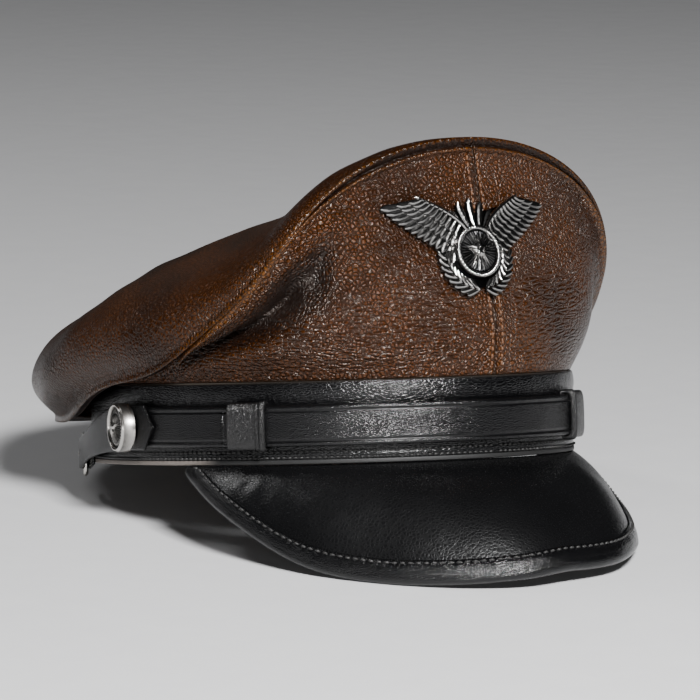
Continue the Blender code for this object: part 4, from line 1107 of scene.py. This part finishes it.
def button_face(r, turn):
    """Rim, sunk field with fine rays, a ring of beads and a raised star on a low dome."""
    share = r / (BUTTON_DIAMETER / 2)
    rim = 0.0012 * ease((share - 0.84) / 0.04) * (1 - ease((share - 0.93) / 0.07) * 0.9)
    beads = 0.0004 * bell(share - 0.68, 0.05) * (0.5 + 0.5 * np.cos(turn * 32))
    rays = 0.00018 * np.sin(turn * 36) * ease((share - 0.2) / 0.1) * (1 - ease((share - 0.56) / 0.04))
    raised = 0.0009 * np.clip(star(r, turn, 0.0052, 0.0021) / 0.0012, 0, 1)
    return button_dome(r) + rim + beads + rays + raised


silver = Finish("button_silver", metallic=1.0)
wear = silver.noise(silver.place(), 500.0)
rub = (silver.mark("rub") + (wear - 0.5) * 0.4).held()
silver_metal = silver.link(base_color=silver.mix(rub, (0.022, 0.021, 0.020), (0.54, 0.52, 0.49)),
                           roughness=0.42 - rub * 0.18, normal=silver.bump(wear, 0.00003))
radius = np.concatenate([[1e-5], np.linspace(0.0003, 0.98, 64) * BUTTON_DIAMETER / 2, [BUTTON_DIAMETER / 2]])
for side, name in ((-1, "right"), (1, "left")):
    face = disc(radius, button_face, 160)
    lit = np.clip((face[:-2, :, 2] - button_dome(radius[:, None])) / 0.0005, 0, 1)
    lit = np.concatenate([lit, np.ones((2, 160))])
    centre = on_band(math.radians(side * BUTTON_ANGLE), STRAP_MIDDLE, KEEPER_OUT)
    outward = on_band(math.radians(side * BUTTON_ANGLE), STRAP_MIDDLE, KEEPER_OUT + 1) - centre
    beside = np.cross(UP, outward)
    lean = -side * math.radians(BUTTON_LEAN)
    beside, outward = (beside * math.cos(lean) + outward * math.sin(lean),
                       outward * math.cos(lean) - beside * math.sin(lean))
    face[-2:, :, 2] -= BUTTON_DIAMETER / 2 * math.sin(abs(lean))
    points = centre + face[..., :1] * beside + face[..., 1:2] * UP + face[..., 2:] * outward
    make_piece(f"side_button_{name}", [swept(points, rub=lit)], silver_metal,
               [f"button_{name}"], sharp=50)


# Rear straps. A short strap on the wearer's right is folded round the buckle's bar, and a
# long one comes round the back and passes under the buckle. Both end in front of a button
# in a shallow point, and the button pins them down.
REAR_STRAP_WIDTH = 0.0173
TAB_FRONT = 88.0
BUCKLE_ANGLE = -128.0
BUCKLE_WIRE = 0.0019
BUCKLE_LENGTH = 0.0130
BUCKLE_HEIGHT = 0.0170
BUCKLE_MIDDLE = 0.0028
BUCKLE_OUT = GAP + STRAP_WALL + GAP + BUCKLE_WIRE / 2
STRAP_AT_BUCKLE = BUCKLE_HEIGHT - 2 * BUCKLE_WIRE - 6 * GAP
TAB_LENGTH = 2.8
TAB_TIP = 0.04
SLIM = 0.0035
BACK_RISE = 0.0075
RISE_FROM = 128.0


def after(angle, length):
    """The angle that lies a length further round the band, in degrees."""
    return angle + np.degrees(length / ARC)


def rear_course(angle):
    """Height of the rear strap's middle at an angle from the front, in degrees."""
    fall = ease((np.abs(angle) - BUTTON_ANGLE) / (abs(BUCKLE_ANGLE) - BUTTON_ANGLE))
    return STRAP_MIDDLE - (STRAP_MIDDLE - BUCKLE_MIDDLE) * fall


def denser(step, *columns):
    """Path columns read again at even steps of length, then smoothed by a short average."""
    steps = np.hypot(np.radians(np.diff(columns[0])) * ARC, np.diff(columns[1]))
    run = np.append(0, np.cumsum(steps))
    at = np.arange(0, run[-1], step)
    read = [np.interp(at, run, column) for column in columns]
    kernel = np.ones(5) / 5
    return [np.concatenate([c[:2], np.convolve(c, kernel, "valid"), c[-2:]]) for c in read]


# The short strap: along the band, over the buckle's bar and back under itself.
top_layer = OVER_STRAP + STRAP_WALL / 2
bar = after(BUCKLE_ANGLE, BUCKLE_LENGTH / 2 - BUCKLE_WIRE / 2)
bend = BUCKLE_WIRE / 2 + GAP + STRAP_WALL / 2
run = np.linspace(-TAB_FRONT + TAB_LENGTH, after(bar, 0.004), 90)
outs = top_layer + (BUCKLE_OUT + bend - top_layer) * ease((-run - BUTTON_ANGLE - 6) / 12)
turns = np.linspace(0, math.pi, 17)
angles = np.concatenate([run, after(bar, -bend * np.sin(turns)), after(bar, np.array([0.003, 0.006, 0.009]))])
outs = np.concatenate([outs, BUCKLE_OUT + bend * np.cos(turns), [BUCKLE_OUT - bend] * 3])
angles, outs = denser(0.0003, angles, outs)
widths = STRAP_AT_BUCKLE - REAR_STRAP_WIDTH
widths = REAR_STRAP_WIDTH + widths * np.clip((-angles - BUTTON_ANGLE - 5) / 14, 0, 1)
widths = widths * np.clip(TAB_TIP + (-angles - TAB_FRONT + TAB_LENGTH) / TAB_LENGTH, 0, 1)
short = ribbon(angles, outs, rear_course(angles), REAR_STRAP_WIDTH, widths / REAR_STRAP_WIDTH, 5)
make_piece("rear_strap_to_buckle", [short], strap_leather, ["rear_strap_short"])

# The long strap: from the left button round the back, a little raised there, to the buckle.
other = 360 + BUCKLE_ANGLE
angles = np.linspace(TAB_FRONT - TAB_LENGTH, 360 + after(BUCKLE_ANGLE, 0.0005), 520)
outs = top_layer + (GAP + STRAP_WALL / 2 - top_layer) * ease((angles - BUTTON_ANGLE - 6) / 14)
rise = BUCKLE_MIDDLE + BACK_RISE * np.sin(math.pi * (angles - RISE_FROM) / (other - RISE_FROM))
middles = np.where(angles > RISE_FROM, rise, rear_course(angles))
widths = REAR_STRAP_WIDTH - SLIM * np.clip((angles - BUTTON_ANGLE - 5) / 14, 0, 1)
widths = widths + (STRAP_AT_BUCKLE - widths) * np.clip((angles - other + 18) / 12, 0, 1)
widths = widths * np.clip(TAB_TIP + (angles - TAB_FRONT + TAB_LENGTH) / TAB_LENGTH, 0, 1)
long = ribbon(angles, outs, middles, REAR_STRAP_WIDTH, widths / REAR_STRAP_WIDTH, 6)
make_piece("rear_strap_round_back", [long], strap_leather, ["rear_strap_long"])


# Rear buckle. A rounded frame of bent wire with a prong that hooks its bar and lies
# across the strap.
PRONG_RADIUS = 0.0007

turn = np.linspace(0, 2 * math.pi, 160, endpoint=False)
outline = np.stack([squared(np.cos(turn), 0.3) * (BUCKLE_LENGTH - BUCKLE_WIRE) / 2,
                    squared(np.sin(turn), 0.3) * (BUCKLE_HEIGHT - BUCKLE_WIRE) / 2], -1)
outline = np.concatenate([outline, outline[:1]])
run = np.append(0, np.cumsum(np.linalg.norm(np.diff(outline, axis=0), axis=1)))
even = np.linspace(0, run[-1], 120, endpoint=False)
outline = np.stack([np.interp(even, run, item) for item in outline.T], -1)
slope = np.roll(outline, -2, axis=0) - np.roll(outline, 2, axis=0)
slope = slope / np.linalg.norm(slope, axis=1, keepdims=True)
wire = np.linspace(0, 2 * math.pi, 14, endpoint=False)
beside = np.cos(wire) * BUCKLE_WIRE / 2
frame_loops = on_band(np.radians(after(BUCKLE_ANGLE, outline[:, :1] + slope[:, 1:] * beside)),
                      BUCKLE_MIDDLE + outline[:, 1:] - slope[:, :1] * beside,
                      BUCKLE_OUT + np.sin(wire) * BUCKLE_WIRE / 2)
make_piece("strap_buckle", [swept(frame_loops, True, rub=1.0)], silver_metal, ["rear_buckle"])

# The prong tapers to a round tip just past the frame.
along = np.linspace(0.003, -BUCKLE_LENGTH / 2 - 0.0022, 40)
thin = PRONG_RADIUS * np.clip(1.2 * np.sqrt(np.clip((along - along[-1]) / 0.003, 0.02, 1)), 0, 1)
wire_out = BUCKLE_OUT + BUCKLE_WIRE / 2 + GAP + PRONG_RADIUS
prong = on_band(np.radians(after(BUCKLE_ANGLE, along[:, None] + 0 * wire)),
                BUCKLE_MIDDLE + thin[:, None] * np.cos(wire), wire_out + thin[:, None] * np.sin(wire))
make_piece("strap_buckle_prong", [swept(prong, rub=1.0)], silver_metal, ["buckle_prong"])


# Floor, lights and camera. A pale floor, three soft boxes and a long lens from low in
# front on the wearer's right.
FLOOR_REACH = 9.0
WORLD_GREY = (0.62, 0.63, 0.66, 1.0)
WORLD_STRENGTH = 0.035
SOFTBOXES = (
    # name, towards the camera, to the camera's left, high, across, tall, watts
    ("key_softbox", 1.10, -0.34, 0.95, 0.34, 0.24, 56.0),
    ("front_softbox", 2.60, 0.10, 0.40, 2.3, 0.18, 17.0),
    ("top_softbox", -0.30, 0.90, 1.20, 0.4, 0.3, 4.0),
)

corners = [(x * FLOOR_REACH, y * FLOOR_REACH, 0) for x, y in ((-1, -1), (1, -1), (1, 1), (-1, 1))]
floor_mesh = bpy.data.meshes.new("studio_floor")
floor_mesh.from_pydata(corners, [], [(0, 1, 2, 3)])
floor = bpy.data.objects.new("studio_floor", floor_mesh)
bpy.context.scene.collection.objects.link(floor)
paper = Finish("pale_paper", roughness=0.75)
tooth = paper.noise(paper.place(), 60.0)
floor_mesh.materials.append(paper.link(base_color=paper.mix(tooth, (0.60, 0.60, 0.61), (0.64, 0.64, 0.645)),
                                       normal=paper.bump(tooth, 0.0002)))

# The lens and its place were fitted to the band's oval. Its focal length and the frame's
# width are both in the frame's own steps.
PICTURE_PX = 700
FOCAL_PX = 5500
CAMERA_AT = np.array([-1.27721, -1.70518, 0.06992])
CAMERA_RIGHT = np.array([0.797384, -0.602712, -0.030282])
CAMERA_UP = np.array([0.032559, -0.007139, 0.999444])
CAMERA_FORWARD = np.array([0.602593, 0.797927, -0.013931])


def aim(item, at, right, up, forward):
    """Put a camera or light at a place, looking forward, by its three directions."""
    turned = np.eye(4)
    turned[:3, 0], turned[:3, 1], turned[:3, 2], turned[:3, 3] = right, up, -forward, at
    item.matrix_world = Matrix(turned.tolist())


lens = bpy.data.cameras.new("camera")
lens.sensor_width = 36.0
lens.lens = lens.sensor_width * FOCAL_PX / PICTURE_PX
camera = bpy.data.objects.new("camera", lens)
bpy.context.scene.collection.objects.link(camera)
aim(camera, placed(CAMERA_AT), TIP @ CAMERA_RIGHT, TIP @ CAMERA_UP, TIP @ CAMERA_FORWARD)
bpy.context.scene.camera = camera

world = bpy.data.worlds.new("studio")
world.use_nodes = True
sky = world.node_tree.nodes["Background"]
sky.inputs["Color"].default_value = WORLD_GREY
sky.inputs["Strength"].default_value = WORLD_STRENGTH
bpy.context.scene.world = world

to_camera = -TIP @ CAMERA_FORWARD * (1, 1, 0)
to_camera = to_camera / np.linalg.norm(to_camera)
to_left = np.cross(to_camera, UP)
for name, ahead, left, high, across, tall, power in SOFTBOXES:
    light = bpy.data.lights.new(name, "AREA")
    light.shape = "RECTANGLE"
    light.size = across
    light.size_y = tall
    light.energy = power
    at = to_camera * ahead + to_left * left + UP * high
    forward = np.array([0.0, 0.0, 0.06]) - at
    forward = forward / np.linalg.norm(forward)
    right = np.cross(forward, UP)
    right = right / np.linalg.norm(right)
    item = bpy.data.objects.new(name, light)
    bpy.context.scene.collection.objects.link(item)
    aim(item, at, right, np.cross(right, forward), forward)
